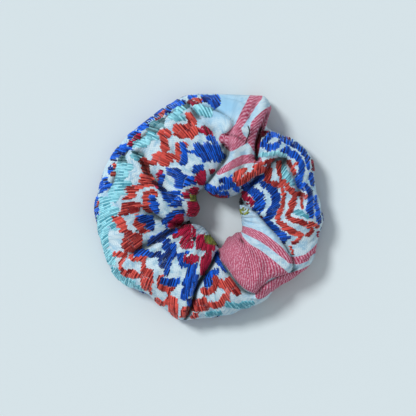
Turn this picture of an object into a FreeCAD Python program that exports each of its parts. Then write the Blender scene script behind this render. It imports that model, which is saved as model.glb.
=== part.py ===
import FreeCAD, Part
import math
import os

# A gathered cloth scrunchie lying flat. Millimetres, +Z up.
# The origin is at the middle of the outline, on the surface that it lies on.
# It is made in two halves, left and right of a plane through the hole, which
# move apart as the band inside is stretched.

# outline of the gathered casing
outline_radius = 55.7
gather_count = 12
gather_depth = 1.3
hole_centre = FreeCAD.Vector(4.0, -5.0, 0.0)
hole_radius = 13.5

# cross-section of the casing: an ellipse with its base flattened on the surface
section_centre_height = 11.0
section_half_height = 17.5
crest_variation = 1.2
cloth_thickness = 0.6
half_gap = 0.15

# seam allowance turned inside on the hole side, and the running stitches in it
allowance_width = 7.0
seam_inset = 2.0
seam_stitch_length = 2.0
seam_stitch_pitch_deg = 9.0
seam_stitch_count = 19

# braided elastic band
band_radius = 27.0
band_width = 6.0
band_thickness = 1.2
band_height = 12.0
band_join_start_deg = 42.0
band_join_end_deg = 68.0
join_stitch_count = 6
join_stitch_length = 4.4

# sewing thread and embroidery floss
thread_radius = 0.2
floss_thickness = 0.6
floss_sink = 0.15
knot_radius = 0.55

# closing seam, where the two ends of the tube meet
closing_seam_deg = 75.0
closing_stitch_count = 9
closing_first_deg = 55.0
closing_last_deg = 130.0
closing_half_length_deg = 1.3
tail_lift = 0.7
# start, middle and end of the loose tail: ring angle, and angle round the tube
tail_start_deg = (71.7, 67.0)
tail_middle_deg = (68.4, 77.0)
tail_end_deg = (69.9, 87.5)

# rows of satin-stitched shapes on each half. Each row: first and last ring angle, how many,
# angle round the tube (0 outside, 90 top, 180 hole), half length along the ring,
# half width round the tube, and slant; all angles in degrees
blue_rows = {
    "left": [(98, 262, 15, 120, 4.2, 9.0, 3.0), (104, 256, 14, 98, 3.6, 7.0, -3.0)],
    "right": [(-18, 42, 7, 118, 3.6, 7.0, 4.0), (-18, 42, 8, 64, 3.0, 7.0, 4.0),
              (-18, 42, 8, 42, 3.0, 6.0, -4.0)],
}
coral_rows = {
    "left": [(100, 260, 13, 70, 4.6, 12.0, 5.0)],
    "right": [(-18, 42, 8, 90, 3.2, 8.0, 5.0), (-84, -77, 2, 80, 2.6, 9.0, 3.0)],
}
crimson_rows = {
    "left": [(102, 258, 12, 146, 5.0, 9.0, 2.0)],
    "right": [(-15, 40, 5, 146, 4.5, 8.0, 2.0)],
}
turquoise_rows = {
    "left": [],
    "right": [(-14, 38, 6, 20, 3.0, 6.0, 0.0)],
}
green_rows = {
    "left": [(109, 251, 6, 163, 5.0, 3.2, 1.0)],
    "right": [(-38, -30, 2, 150, 2.6, 4.0, 2.0)],
}
# unbroken turquoise bands: first and last ring angle, sections, angle round the tube, half width
turquoise_bands = {"left": (96, 264, 24, 38, 8.0), "right": (-86, -74, 4, 38, 8.0)}
# rows of black knots: first and last ring angle, how many, angle round the tube
knot_rows = {"left": (108, 252, 9, 133.5), "right": (-12, 36, 4, 133)}
# a satin-stitched shape: where its sections are along its half length, and how wide they are
leaf_sections = ((-1.0, 0.45), (0.0, 1.0), (1.0, 0.45))
pad_points = (-1.0, -0.35, 0.35, 1.0)

outline_search_steps = 12
half_span_deg = 105.0
section_start_deg = -60.0
section_end_deg = 240.0
section_points = 16
section_step_deg = 7.5
reach = 200.0


def outline_at(ring_deg):
    # distance from the hole's centre to the gathered outline, along one ray
    direction = FreeCAD.Vector(math.cos(math.radians(ring_deg)), math.sin(math.radians(ring_deg)), 0)
    distance = outline_radius
    for step in range(outline_search_steps):
        spot = hole_centre + direction * distance
        wave = math.cos(gather_count * math.atan2(spot.y, spot.x))
        distance += outline_radius + gather_depth * wave - math.hypot(spot.x, spot.y)
    return distance, wave


def section_sizes(ring_deg):
    # middle distance, half width and half height of the tube at one ring angle
    outer, wave = outline_at(ring_deg)
    middle = (hole_radius + outer) / 2
    return middle, (outer - hole_radius) / 2, section_half_height + crest_variation * wave


def casing_point(ring_deg, round_deg, lift):
    # round_deg is 0 on the outside of the ring, 90 on top and 180 at the hole
    middle, half_width, half_height = section_sizes(ring_deg)
    distance = middle + (half_width + lift) * math.cos(math.radians(round_deg))
    height = section_centre_height + (half_height + lift) * math.sin(math.radians(round_deg))
    direction = FreeCAD.Vector(math.cos(math.radians(ring_deg)), math.sin(math.radians(ring_deg)), 0)
    return hole_centre + direction * distance + FreeCAD.Vector(0, 0, height)


def section_wire(ring_deg, lift):
    # the curve dips below the surface at both sides, and a straight line closes it there
    turn = (section_end_deg - section_start_deg) / (section_points - 1)
    points = [casing_point(ring_deg, section_start_deg + turn * index, lift) for index in range(section_points)]
    curve = Part.BSplineCurve()
    curve.interpolate(points)
    return Part.Wire([curve.toShape(), Part.makeLine(points[-1], points[0])])


def side_angles(side):
    # ring angles that run a little past the parting plane at both ends of a half
    middle = 180.0 if side == "left" else 0.0
    steps = int(round(half_span_deg / section_step_deg))
    return [middle + section_step_deg * index for index in range(-steps, steps + 1)]


def side_block(side, floor, past):
    # everything on one side of the parting plane and above one height
    edge = hole_centre.x
    corner_x = edge - reach + past if side == "left" else edge - past
    return Part.makeBox(reach, 2 * reach, reach, FreeCAD.Vector(corner_x, -reach, floor))


def ring_plate(inner, outer, low, high):
    base = hole_centre + FreeCAD.Vector(0, 0, low)
    return Part.makeCylinder(outer, high - low, base).cut(Part.makeCylinder(inner, high - low, base))


def ring_sector(inner, outer, low, high, start_deg, end_deg):
    start = hole_centre + FreeCAD.Vector(inner, 0, low)
    profile = Part.makePolygon([start, start + FreeCAD.Vector(outer - inner, 0, 0),
                                start + FreeCAD.Vector(outer - inner, 0, high - low),
                                start + FreeCAD.Vector(0, 0, high - low), start])
    profile.rotate(hole_centre, FreeCAD.Vector(0, 0, 1), start_deg)
    return Part.Face(profile).revolve(hole_centre, FreeCAD.Vector(0, 0, 1), end_deg - start_deg)


def casing(side):
    outside = Part.makeLoft([section_wire(angle, 0) for angle in side_angles(side)], True, False)
    inside = Part.makeLoft([section_wire(angle, -cloth_thickness) for angle in side_angles(side)], True, False)
    outside = outside.common(side_block(side, 0, -half_gap))
    inside = inside.common(side_block(side, cloth_thickness, half_gap))
    allowance = ring_plate(hole_radius + cloth_thickness / 2, hole_radius + allowance_width,
                           section_centre_height - cloth_thickness,
                           section_centre_height + cloth_thickness)
    allowance = allowance.common(side_block(side, 0, -half_gap))
    return outside.cut(inside).fuse(allowance).removeSplitter()


def elastic(side):
    band = ring_plate(band_radius - band_thickness / 2, band_radius + band_thickness / 2,
                      band_height - band_width / 2, band_height + band_width / 2)
    band = band.common(side_block(side, 0, -half_gap))
    if side == "right":
        overlap = ring_sector(band_radius + band_thickness / 2, band_radius + 1.5 * band_thickness,
                              band_height - band_width / 2, band_height + band_width / 2,
                              band_join_start_deg, band_join_end_deg)
        band = band.fuse(overlap)
    return band


def upright_bar(ring_deg, distance, length, height):
    direction = FreeCAD.Vector(math.cos(math.radians(ring_deg)), math.sin(math.radians(ring_deg)), 0)
    base = hole_centre + direction * distance + FreeCAD.Vector(0, 0, height - length / 2)
    return Part.makeCylinder(thread_radius, length, base)


def elastic_join_stitches():
    # upright bars on both faces of the overlapped ends of the band
    bars = []
    pitch = (band_join_end_deg - band_join_start_deg) / (join_stitch_count + 1)
    for index in range(join_stitch_count):
        angle = band_join_start_deg + pitch * (index + 1)
        for distance in (band_radius - band_thickness / 2 - thread_radius,
                         band_radius + 1.5 * band_thickness + thread_radius):
            bars.append(upright_bar(angle, distance, join_stitch_length, band_height))
    return Part.makeCompound(bars)


def laid_bar(start, end):
    return Part.makeCylinder(thread_radius, (end - start).Length, start, end - start)


def seam_thread(side):
    # running stitches along the top of the allowance, one straight bar each
    middle = 180.0 if side == "left" else 0.0
    distance = hole_radius + seam_inset
    half_deg = math.degrees(seam_stitch_length / distance) / 2
    height = section_centre_height + cloth_thickness + thread_radius
    bars = []
    for index in range(seam_stitch_count):
        angle = middle + (index - (seam_stitch_count - 1) / 2) * seam_stitch_pitch_deg
        ends = []
        for turn in (angle - half_deg, angle + half_deg):
            direction = FreeCAD.Vector(math.cos(math.radians(turn)), math.sin(math.radians(turn)), 0)
            ends.append(hole_centre + direction * distance + FreeCAD.Vector(0, 0, height))
        bars.append(laid_bar(ends[0], ends[1]))
    return Part.makeCompound(bars)


def closing_thread():
    # short stitches across the closing seam, over the top of the ring
    bars = []
    pitch = (closing_last_deg - closing_first_deg) / (closing_stitch_count - 1)
    for index in range(closing_stitch_count):
        round_deg = closing_first_deg + pitch * index
        start = casing_point(closing_seam_deg - closing_half_length_deg, round_deg, thread_radius)
        end = casing_point(closing_seam_deg + closing_half_length_deg, round_deg, thread_radius)
        bars.append(laid_bar(start, end))
    return Part.makeCompound(bars)


def thread_tail():
    # the loose end of the closing thread, one bow on top of the ring
    start = casing_point(*tail_start_deg, tail_lift)
    middle = casing_point(*tail_middle_deg, tail_lift)
    end = casing_point(*tail_end_deg, tail_lift)
    path = Part.Wire([Part.Arc(start, middle, end).toShape()])
    tangent = path.Edges[0].tangentAt(path.Edges[0].FirstParameter)
    ring = Part.Wire([Part.Circle(start, tangent, thread_radius).toShape()])
    return path.makePipeShell([ring], True, False)


def pad_wire(ring_deg, round_deg, half_round_deg):
    # thin crescent on the casing's surface: the side of one satin-stitched shape
    low = [casing_point(ring_deg, round_deg + half_round_deg * part, -floss_sink) for part in pad_points]
    high = [casing_point(ring_deg, round_deg + half_round_deg * part, floss_thickness) for part in pad_points]
    under = Part.BSplineCurve()
    under.interpolate(low)
    over = Part.BSplineCurve()
    over.interpolate(high)
    return Part.Wire([under.toShape(), Part.makeLine(low[-1], high[-1]),
                      over.toShape(), Part.makeLine(high[0], low[0])])


def satin_shape(ring_deg, round_deg, half_ring_deg, half_round_deg, slant_deg):
    # one leaf-like shape, narrow at both ends
    wires = []
    for part, width in leaf_sections:
        wires.append(pad_wire(ring_deg + half_ring_deg * part, round_deg + slant_deg * part,
                              half_round_deg * width))
    return Part.makeLoft(wires, True, False)


def satin_row(first_deg, last_deg, count, round_deg, half_ring_deg, half_round_deg, slant_deg):
    # a row of shapes around the ring, slanting to and fro
    shapes = []
    for index in range(count):
        angle = first_deg + (last_deg - first_deg) * index / max(count - 1, 1)
        shapes.append(satin_shape(angle, round_deg, half_ring_deg, half_round_deg,
                                  slant_deg * (1 if index % 2 else -1)))
    return shapes


def satin_band(first_deg, last_deg, count, round_deg, half_round_deg):
    wires = []
    for index in range(count):
        wires.append(pad_wire(first_deg + (last_deg - first_deg) * index / (count - 1),
                              round_deg, half_round_deg))
    return [Part.makeLoft(wires, True, False)]


def knot_row(first_deg, last_deg, count, round_deg):
    knots = []
    for index in range(count):
        angle = first_deg + (last_deg - first_deg) * index / (count - 1)
        knots.append(Part.makeSphere(knot_radius, casing_point(angle, round_deg, knot_radius / 3)))
    return knots


def floss(rows):
    # all the shapes of one colour on one half
    shapes = []
    for row in rows:
        shapes += satin_row(*row)
    return Part.makeCompound(shapes)


def turquoise_floss(side):
    rows = floss(turquoise_rows[side]).Solids
    return Part.makeCompound(satin_band(*turquoise_bands[side]) + rows)


def save(name, shape):
    shape.exportStep(os.path.join("parts", name + ".step"))
    print(name, "solids", len(shape.Solids), "valid", shape.isValid(), "volume", round(shape.Volume, 1))


os.makedirs("parts", exist_ok=True)
for side in ("left", "right"):
    save("casing_" + side, casing(side))
    save("elastic_" + side, elastic(side))
    save("seam_thread_" + side, seam_thread(side))
    save("blue_floss_" + side, floss(blue_rows[side]))
    save("coral_floss_" + side, floss(coral_rows[side]))
    save("crimson_floss_" + side, floss(crimson_rows[side]))
    save("turquoise_floss_" + side, turquoise_floss(side))
    save("green_floss_" + side, floss(green_rows[side]))
    save("black_floss_" + side, Part.makeCompound(knot_row(*knot_rows[side])))
save("elastic_join_stitches", elastic_join_stitches())
save("closing_thread", closing_thread())
save("closing_thread_tail", thread_tail())
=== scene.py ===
import bpy
import math
import numpy as np
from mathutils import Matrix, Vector, noise


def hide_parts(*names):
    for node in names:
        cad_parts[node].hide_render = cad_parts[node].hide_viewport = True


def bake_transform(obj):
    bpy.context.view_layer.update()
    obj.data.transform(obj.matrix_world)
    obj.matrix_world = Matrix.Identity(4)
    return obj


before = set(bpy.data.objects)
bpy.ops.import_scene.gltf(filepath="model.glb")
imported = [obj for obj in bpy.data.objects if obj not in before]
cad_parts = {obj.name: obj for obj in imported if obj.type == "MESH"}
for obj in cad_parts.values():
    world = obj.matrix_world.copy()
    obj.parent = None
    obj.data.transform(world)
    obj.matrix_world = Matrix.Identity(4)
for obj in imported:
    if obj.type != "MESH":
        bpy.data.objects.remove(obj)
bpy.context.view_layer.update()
print("frame loaded")

mm = 0.001
holeCentre = np.array([4.0, -5.0])  # same place as the CAD ring's hole, in mm


# plan curves are a few points in mm, rounded by a spline
def smoothPath(points, closed=False, perSpan=10):
    pts = np.array(points, float)
    if closed:
        pts = np.vstack([pts[-1], pts, pts[0], pts[1]])
    else:
        pts = np.vstack([2 * pts[0] - pts[1], pts, 2 * pts[-1] - pts[-2]])
    out = []
    for a, b, c, d in zip(pts[:-3], pts[1:-2], pts[2:-1], pts[3:]):
        for k in range(perSpan):
            t = k / perSpan
            out.append(0.5 * (2 * b + (c - a) * t + (2 * a - 5 * b + 4 * c - d) * t * t
                              + (3 * b - a - 3 * c + d) * t ** 3))
    if not closed:
        out.append(pts[-2])
    return np.array(out)


def distanceTo(path, x, y):
    # signed distance to a path, positive on its left, and how far along it the nearest spot is
    flatX, flatY = x.ravel(), y.ravel()
    best = np.full(flatX.shape, 1e9)
    signed = np.zeros(flatX.shape)
    along = np.zeros(flatX.shape)
    lengths = np.hypot(*np.diff(path, axis=0).T)
    total = lengths.sum()
    run = 0.0
    for (x0, y0), (x1, y1), length in zip(path[:-1], path[1:], lengths):
        dx, dy = (x1 - x0) / length, (y1 - y0) / length
        t = np.clip((flatX - x0) * dx + (flatY - y0) * dy, 0, length)
        gapX, gapY = flatX - x0 - t * dx, flatY - y0 - t * dy
        gap = np.hypot(gapX, gapY)
        near = gap < best
        best = np.where(near, gap, best)
        signed = np.where(near, np.where(dx * gapY - dy * gapX >= 0, gap, -gap), signed)
        along = np.where(near, (run + t) / total, along)
        run += length
    return signed.reshape(x.shape), along.reshape(x.shape)


def ease(low, high, value):
    t = np.clip((value - low) / (high - low), 0, 1)
    return t * t * (3 - 2 * t)


def rimDistance(points, ringAngles):
    # distance from the hole's centre to a closed outline, for each ring angle
    path = smoothPath(points, closed=True) - holeCentre
    angle = np.arctan2(path[:, 1], path[:, 0])
    order = np.argsort(angle)
    angle = angle[order]
    reach = np.hypot(path[order, 0], path[order, 1])
    angle = np.concatenate([angle - 2 * np.pi, angle, angle + 2 * np.pi])
    return np.interp(ringAngles, angle, np.tile(reach, 3))


# the casing is one gathered tube of cloth; sizes in mm, heights by ring angle in degrees
casingLook = {
    "ringSteps": 400,
    "topSteps": 86,
    "underSteps": 32,
    "clothThickness": 0.45,
    "floorGap": 0.55,
    "outerRim": [(-10, 56.8), (6, 57), (22, 56.5), (28, 55.5), (31, 49), (28, 42), (32, 38.5), (43, 34),
                 (51, 25), (53, 11), (57, -4), (54, -16), (52.5, -24), (48, -31), (37, -38.5), (28, -46),
                 (18, -51), (6, -54.5), (-7, -55.5), (-14.5, -57), (-19, -54.5), (-29, -45.5), (-36, -41.5),
                 (-44.5, -37), (-50, -30.5), (-53, -23), (-56, -14), (-57.5, -5), (-57.5, 3), (-55.5, 10),
                 (-53.5, 18.5), (-48.5, 28), (-41, 36.5), (-32, 43.5), (-22, 51)],
    "holeRim": [(-3, 9.7), (1, 6.6), (6, 5.2), (12, 6), (16.3, 7.6), (14.8, 2.5), (15.4, -4), (16, -11),
                (12.5, -12.6), (8, -15.5), (5.3, -20), (2.5, -17), (-3, -9.6), (-10.2, -6.8), (-6.5, -3),
                (-5.4, 0), (-6.5, 3), (-7, 6.5)],
    "crestByAngle": [(-180, 25), (-150, 25.5), (-118, 25), (-95, 23), (-75, 24), (-50, 25.5), (-28, 25),
                     (-10, 22.5), (20, 22), (45, 23), (62, 23.5), (78, 26.5), (95, 25.5), (120, 26),
                     (150, 26.5)],
    "holeSideHeight": 8.5,
    "outSideHeight": 8.0,
    "sidePower": 0.82,
    "crestPower": 0.5,
    "outerPower": 0.3,
    "underPower": 0.42,
    "stripRadius": 38,
    "hollowReach": 5,
}


def ringColumns():
    steps = casingLook["ringSteps"]
    return -np.pi + 2 * np.pi * np.arange(steps) / steps


def sectionRows():
    # row angle 0 is the hole side, pi the outside, and past pi the underside
    top = np.linspace(0, np.pi, casingLook["topSteps"] + 1)
    under = np.linspace(np.pi, 2 * np.pi, casingLook["underSteps"] + 1)[1:-1]
    return np.concatenate([top, under])


def signedPower(value, power):
    return np.sign(value) * np.abs(value) ** power


gatherLook = {"outside": 1.5, "holeSide": 0.9, "under": 1.6, "perTurn": 6.5, "lean": 0.02, "sharp": 3.4,
              "alongWall": 0.05, "outsideFrom": 0.8, "holeSideTo": 0.2}


def gathers(ring, height):
    # 0 on the open cloth, 1 along creases that run up the walls and across the underside
    out = np.zeros(height.size)
    perTurn = gatherLook["perTurn"]
    for k, (angle, high) in enumerate(zip(np.broadcast_to(ring, height.shape).ravel(), height.ravel())):
        angle += high * gatherLook["lean"]
        out[k] = noise.noise(Vector((math.cos(angle) * perTurn, math.sin(angle) * perTurn,
                                     high * gatherLook["alongWall"])))
    return np.maximum(1 - np.abs(out.reshape(height.shape)) * gatherLook["sharp"], 0)


def puffedTube():
    # plain puffed shape, before its folds are pressed in
    ring = ringColumns()[:, None]
    row = sectionRows()[None, :]
    inner = rimDistance(casingLook["holeRim"], ring)
    outer = rimDistance(casingLook["outerRim"], ring)
    crestAngles, crestHeights = zip(*casingLook["crestByAngle"])
    crest = np.interp(ring, np.radians(crestAngles), crestHeights, period=2 * np.pi)
    share = 0.5 - 0.5 * signedPower(np.cos(row), casingLook["sidePower"])
    reach = inner + share * (outer - inner)
    equator = casingLook["holeSideHeight"] * (1 - share) + casingLook["outSideHeight"] * share
    power = casingLook["crestPower"] + casingLook["outerPower"] * share
    top = equator + (crest - equator) * np.abs(np.sin(row)) ** power
    under = equator * (1 - np.abs(np.sin(row)) ** casingLook["underPower"])
    height = np.where(row <= np.pi, top, under + casingLook["floorGap"])
    plan = holeCentre[0] + reach * np.cos(ring), holeCentre[1] + reach * np.sin(ring)
    crease = gathers(ring, height)
    outwards = gatherLook["outside"] * ease(gatherLook["outsideFrom"], 1, share)
    inwards = gatherLook["holeSide"] * ease(gatherLook["holeSideTo"], 0, share)
    reach = reach - crease * (outwards - inwards)
    height = np.where(row > np.pi, height + crease * gatherLook["under"] * np.abs(np.sin(row)) ** 0.5, height)
    x = holeCentre[0] + reach * np.cos(ring)
    y = holeCentre[1] + reach * np.sin(ring)
    topShare = np.clip(np.sin(row), 0, 1) ** 0.5 * np.ones_like(reach)
    return x, y, height, topShare, share * np.ones_like(reach), plan


# each fold follows a path; the high side rolls over its edge and the low side sinks under it, all in mm
foldList = {
    "back layer": {"path": [(-9, 51.5), (-14, 50), (-18.5, 47.5), (-24, 43), (-33, 35), (-41, 28),
        (-45, 19), (-48.5, 11), (-53, 5.5), (-57, 0)], "high": "left", "lift": 2.0, "liftReach": 5,
        "sink": 7.5, "sinkReach": 14, "roll": 2.8, "fade": (0.04, 0.25)},
    "lower pleat": {"path": [(-46, -28.5), (-40, -24), (-31.5, -20), (-21.5, -14), (-14.5, -10),
        (-9, -6.6)], "high": "right", "lift": 2.2, "liftReach": 4, "sink": 7.5, "sinkReach": 8,
        "roll": 2.2, "fade": (0.4, 0.01)},
    "upper pleat": {"path": [(-37, 3), (-33, 1.8), (-28, -2.5), (-20.5, -6.5), (-9, -7)], "high": "left",
        "lift": 2.0, "liftReach": 4, "sink": 5.0, "sinkReach": 6, "roll": 2.0, "fade": (0.4, 0.01)},
    "shoulder valley": {"path": [(-39, 30), (-36, 26.5), (-32.5, 20), (-29.5, 14), (-25, 10), (-20, 4),
        (-12, -1)], "high": "right", "lift": 1.2, "liftReach": 6, "sink": 5.0, "sinkReach": 7,
        "roll": 3.0, "fade": (0.12, 0.45)},
    "cheek": {"path": [(-24, 41), (-21, 33), (-17, 27), (-11, 21)], "high": "left", "lift": 1.0,
        "liftReach": 6, "sink": 2.4, "sinkReach": 7, "roll": 5.0, "fade": (0.3, 0.4)},
    "deep fold": {"path": [(-14, -58), (-11, -52), (-8.7, -46), (-7.7, -41), (-5, -35.5), (-0.5, -29),
        (4.5, -20)], "high": "left", "lift": 0.3, "liftReach": 5, "sink": 11, "sinkReach": 1.5,
        "roll": 2.2, "fade": (0.02, 0.08)},
    "flap hole edge": {"path": [(15.5, -11), (10.5, -13.5), (5.5, -19), (5.5, -25.5), (8.5, -30.5),
        (13, -36.5), (17.5, -41), (23.5, -43)], "high": "left", "lift": 2.2, "liftReach": 12, "sink": 4.5,
        "sinkReach": 3, "roll": 5, "fade": (0.1, 0.05)},
    "flap outer edge": {"path": [(40, -36), (41, -27), (38.5, -21.5), (34, -15), (27.5, -7.5),
        (21.5, -1.3), (14, 3.5)], "high": "left", "lift": 1.8, "liftReach": 10, "sink": 3.4,
        "sinkReach": 4, "roll": 2.2, "fade": (0.15, 0.05)},
    "tail crease": {"path": [(22, -43.5), (26, -38.5), (31, -35), (36, -33.5), (42, -30.5), (47, -28)],
        "high": "left", "lift": 0, "liftReach": 3, "sink": 3.6, "sinkReach": 2.2, "roll": 2.4,
        "fade": (0.05, 0.3)},
    "flap dent": {"path": [(13, -9), (15.5, -15), (19, -21)], "high": "left", "lift": 0, "liftReach": 3,
        "sink": 6.0, "sinkReach": 4.0, "roll": 4, "fade": (0.05, 0.5)},
    "rolled lobe": {"path": [(11, 8.5), (15.5, 9.8), (20, 12.6), (25, 16), (28.3, 19.5), (30.5, 23),
        (34, 25), (39, 25.3)], "high": "left", "lift": 2.6, "liftReach": 5, "sink": 5.0, "sinkReach": 7,
        "roll": 4.5, "fade": (0.12, 0.08)},
    "lobe hollow edge": {"path": [(37, 25.8), (40, 21), (43, 14), (45.5, 7), (47, -2)], "high": "left",
        "lift": 1.2, "liftReach": 4, "sink": 5.5, "sinkReach": 7, "roll": 2.4, "fade": (0.08, 0.35)},
    "neck right side": {"path": [(23.5, 22), (22.5, 26), (22.3, 31), (23.5, 36), (26, 40.5)],
        "high": "left", "lift": 2.0, "liftReach": 6, "sink": 6.0, "sinkReach": 2.6, "roll": 3.4,
        "fade": (0.08, 0.1)},
    "neck left side": {"path": [(5, 33), (9, 28.5), (7, 22.5), (2, 16), (-3.5, 9)], "high": "left",
        "lift": 2.6, "liftReach": 8, "sink": 5.0, "sinkReach": 3.2, "roll": 3.5, "fade": (0.1, 0.05)},
    "neck lower crease": {"path": [(25, 25), (20, 23), (16, 20), (12, 16.5)], "high": "left", "lift": 0.6,
        "liftReach": 4, "sink": 2.2, "sinkReach": 1.6, "roll": 2.0, "fade": (0.15, 0.6)},
    "plain flap inside": {"path": [(9, 28.5), (4.5, 33.5), (-0.5, 39), (-3.5, 41.5), (-6, 45.5)],
        "high": "left", "lift": 0.8, "liftReach": 5, "sink": 1.8, "sinkReach": 4, "roll": 3.2,
        "fade": (0.2, 0.3)},
    "hood": {"path": [(-11.5, 52.5), (-8.5, 49), (-5.5, 45.5), (-3.5, 43)], "high": "left", "lift": 1.6,
        "liftReach": 4, "sink": 5.0, "sinkReach": 2.2, "roll": 2.2, "fade": (0.2, 0.3)},
    "plain flap outside": {"path": [(6.5, 35), (10, 38.5), (11, 42), (8.5, 45), (3.5, 47.8), (-3, 50.5),
        (-8, 54)], "high": "left", "lift": 1.2, "liftReach": 5, "sink": 2.6, "sinkReach": 3, "roll": 2.2,
        "fade": (0.08, 0.25)},
    "closing seam": {"path": [(3.5, 35), (8, 36.3), (12, 35.5), (15, 34), (19, 31)], "high": "left",
        "lift": 0.9, "liftReach": 4, "sink": 1.1, "sinkReach": 1.4, "roll": 1.6, "fade": (0.1, 0.1)},
    "stripe tip": {"path": [(14.5, 40.5), (16, 37.5), (18.5, 35.5), (20.5, 37.5), (21.5, 42)],
        "high": "left", "lift": 0.5, "liftReach": 3, "sink": 2.6, "sinkReach": 2.2, "roll": 1.5,
        "fade": (0.15, 0.4)},
    "pink crest": {"path": [(33, 55), (28.5, 47), (25, 41), (22.5, 35)], "high": "right", "lift": 2.6,
        "liftReach": 5, "sink": 3.2, "sinkReach": 4, "roll": 3.0, "fade": (0.15, 0.2)},
    "stripe valley": {"path": [(26, 57), (21.5, 49), (19, 43), (17, 40)], "high": "left", "lift": 0.4,
        "liftReach": 3, "sink": 2.4, "sinkReach": 3, "roll": 2.5, "fade": (0.3, 0.3)},
}
# dents and lumps: place, radius and height
lumpList = [(-36.5, 26, 4.5, -3.0), (-50, -8, 7, -1.2), (-43, -31, 5, -1.0), (11, 36.5, 6, 2.4),
    (16, 2.5, 2.2, -6.0), (-13.5, 47.5, 4, 1.2), (-31, -10, 6, -1.4), (33, 10, 7, -2.0), (25, 5, 5, 1.5),
    (-22, 20, 7, 1.0), (22, -28, 9, 1.2), (33, -30, 5, -0.8), (-24, -30, 8, 1.0), (48, -14, 6, -1.2),
    (50, 20, 6, 0.8)]


def besideFold(gap, fold):
    # height change across a fold: the sunk side, the rolled edge, then the raised side
    over = gap if fold["high"] == "left" else -gap
    rise = fold["lift"] + fold["sink"]
    turn = 1 - np.clip(over / fold["roll"], 0, 1)
    rolled = rise * np.sqrt(1 - turn ** 2) - fold["sink"]
    beyond = fold["lift"] * np.exp(-np.maximum(over - fold["roll"], 0) / fold["liftReach"])
    low = -fold["sink"] * np.exp(-np.abs(over) / fold["sinkReach"])
    return np.where(over < 0, low, np.where(over < fold["roll"], rolled, beyond))


wrinkleLook = {"radial": 1.3, "soft": 2.6, "fine": 0.34, "perTurn": 5.2, "acrossTube": 1.3, "radialSize": 1.1,
               "softSize": 0.07, "fineSize": 0.26, "fadeOut": 1.15}


def wrinkles(x, y, share):
    # gathers run out from the hole and fade towards the outside; softer dents lie between them
    look = wrinkleLook
    ring = np.arctan2(y - holeCentre[1], x - holeCentre[0])
    out = np.zeros(x.size)
    for k, (angle, across, px, py) in enumerate(zip(ring.ravel(), share.ravel(), x.ravel(), y.ravel())):
        spot = Vector((math.cos(angle) * look["perTurn"], math.sin(angle) * look["perTurn"],
                       across * look["acrossTube"]))
        radial = abs(noise.noise(spot * look["radialSize"])) * 2 - 0.5
        soft = noise.noise(Vector((px, py, 3.0)) * look["softSize"])
        fine = noise.noise(Vector((px, py, 9.0)) * look["fineSize"])
        out[k] = (look["radial"] * radial * (look["fadeOut"] - across) + look["soft"] * soft
                  + look["fine"] * fine)
    return out.reshape(x.shape)


# the elastic as felt through the cloth: middle radius, top, half width, how steeply the cloth falls beside it
bandUnder = {"radius": 27.6, "top": 16.3, "half": 1.6, "slope": 1.6, "fromTopShare": 0.3}


def pressFolds(x, y, height, topShare, share):
    for fold in foldList.values():
        gap, along = distanceTo(smoothPath(fold["path"]), x, y)
        fadeIn, fadeOut = fold["fade"]
        fade = ease(0, fadeIn, along) * ease(0, fadeOut, 1 - along)
        height = height + besideFold(gap, fold) * fade * topShare
    for atX, atY, radius, lift in lumpList:
        height = height + topShare * lift * np.exp(-((x - atX) ** 2 + (y - atY) ** 2) / radius ** 2)
    height = height + wrinkles(x, y, share) * topShare
    # the cloth can't sink through the elastic under it
    fromBand = np.abs(np.hypot(x - holeCentre[0], y - holeCentre[1]) - bandUnder["radius"])
    bandTop = bandUnder["top"] - np.maximum(fromBand - bandUnder["half"], 0) * bandUnder["slope"]
    return np.where(topShare > bandUnder["fromTopShare"], np.maximum(height, bandTop), height)


# where the cloth is plain, without embroidery
plainZones = {
    "upper stripes": [(7, 62), (6, 52), (0.5, 47), (-3.5, 42.5), (0, 39), (4.5, 33.5), (8.5, 28), (6, 22),
        (1, 16), (5, 15.2), (9, 16.4), (12, 18), (16, 20), (21, 21), (22.5, 30), (25, 38), (31, 41),
        (40, 60)],
    "lower flap": [(14, 4), (21.5, -1.3), (27.5, -7.5), (34, -15), (39, -22), (44, -24.5), (50, -22),
        (60, -17), (60, -50), (23.5, -52), (22.5, -47.5), (17, -42.5), (12, -36.5), (8, -30.5),
        (5, -25.5), (5, -19), (10, -13.5), (14, -10)],
}
# places where the white cloth is bluer: x, y, radius, how much
washList = [(4, 52, 7, 0.8), (12, 50, 7, 0.7), (-2, 44, 6, 0.35), (22, 46, 5, 0.35), (36, 8, 9, 0.3),
    (30, -14, 8, 0.4), (18, -8, 6, 0.4), (-50, 2, 12, 0.25)]
# pink bands as strings of (x, y, half width), and the two places where pink covers a patch
pinkBands = [
    [(24, 60, 3), (23.3, 56, 3), (20.3, 51.5, 2.7), (17.3, 46, 2.4), (14.7, 41.5, 2)],
    [(24, 23.7, 1.6), (20.5, 24.4, 2.1), (16.5, 23.9, 2.2), (12.3, 22, 2), (8, 19.5, 1.7),
        (4.3, 17.3, 1.1)],
    [(14, -9.7, 1.2), (16.5, -10.6, 1.6), (20, -11.9, 2), (25, -14.1, 2.2), (30, -17.5, 2.1),
        (35, -21.6, 2), (39.5, -25.7, 1.3)],
    [(39.5, -25.8, 1.6), (44, -26, 2), (48, -24.8, 1.9), (51.5, -21.8, 1.6), (57, -16, 1.3)],
    [(25, -43, 2.6), (28, -41.3, 3.4), (31, -39.3, 3.5), (36, -36.4, 2.8), (41.5, -33.8, 2),
        (46, -31.7, 1.4), (52, -28.5, 1)],
]
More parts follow.
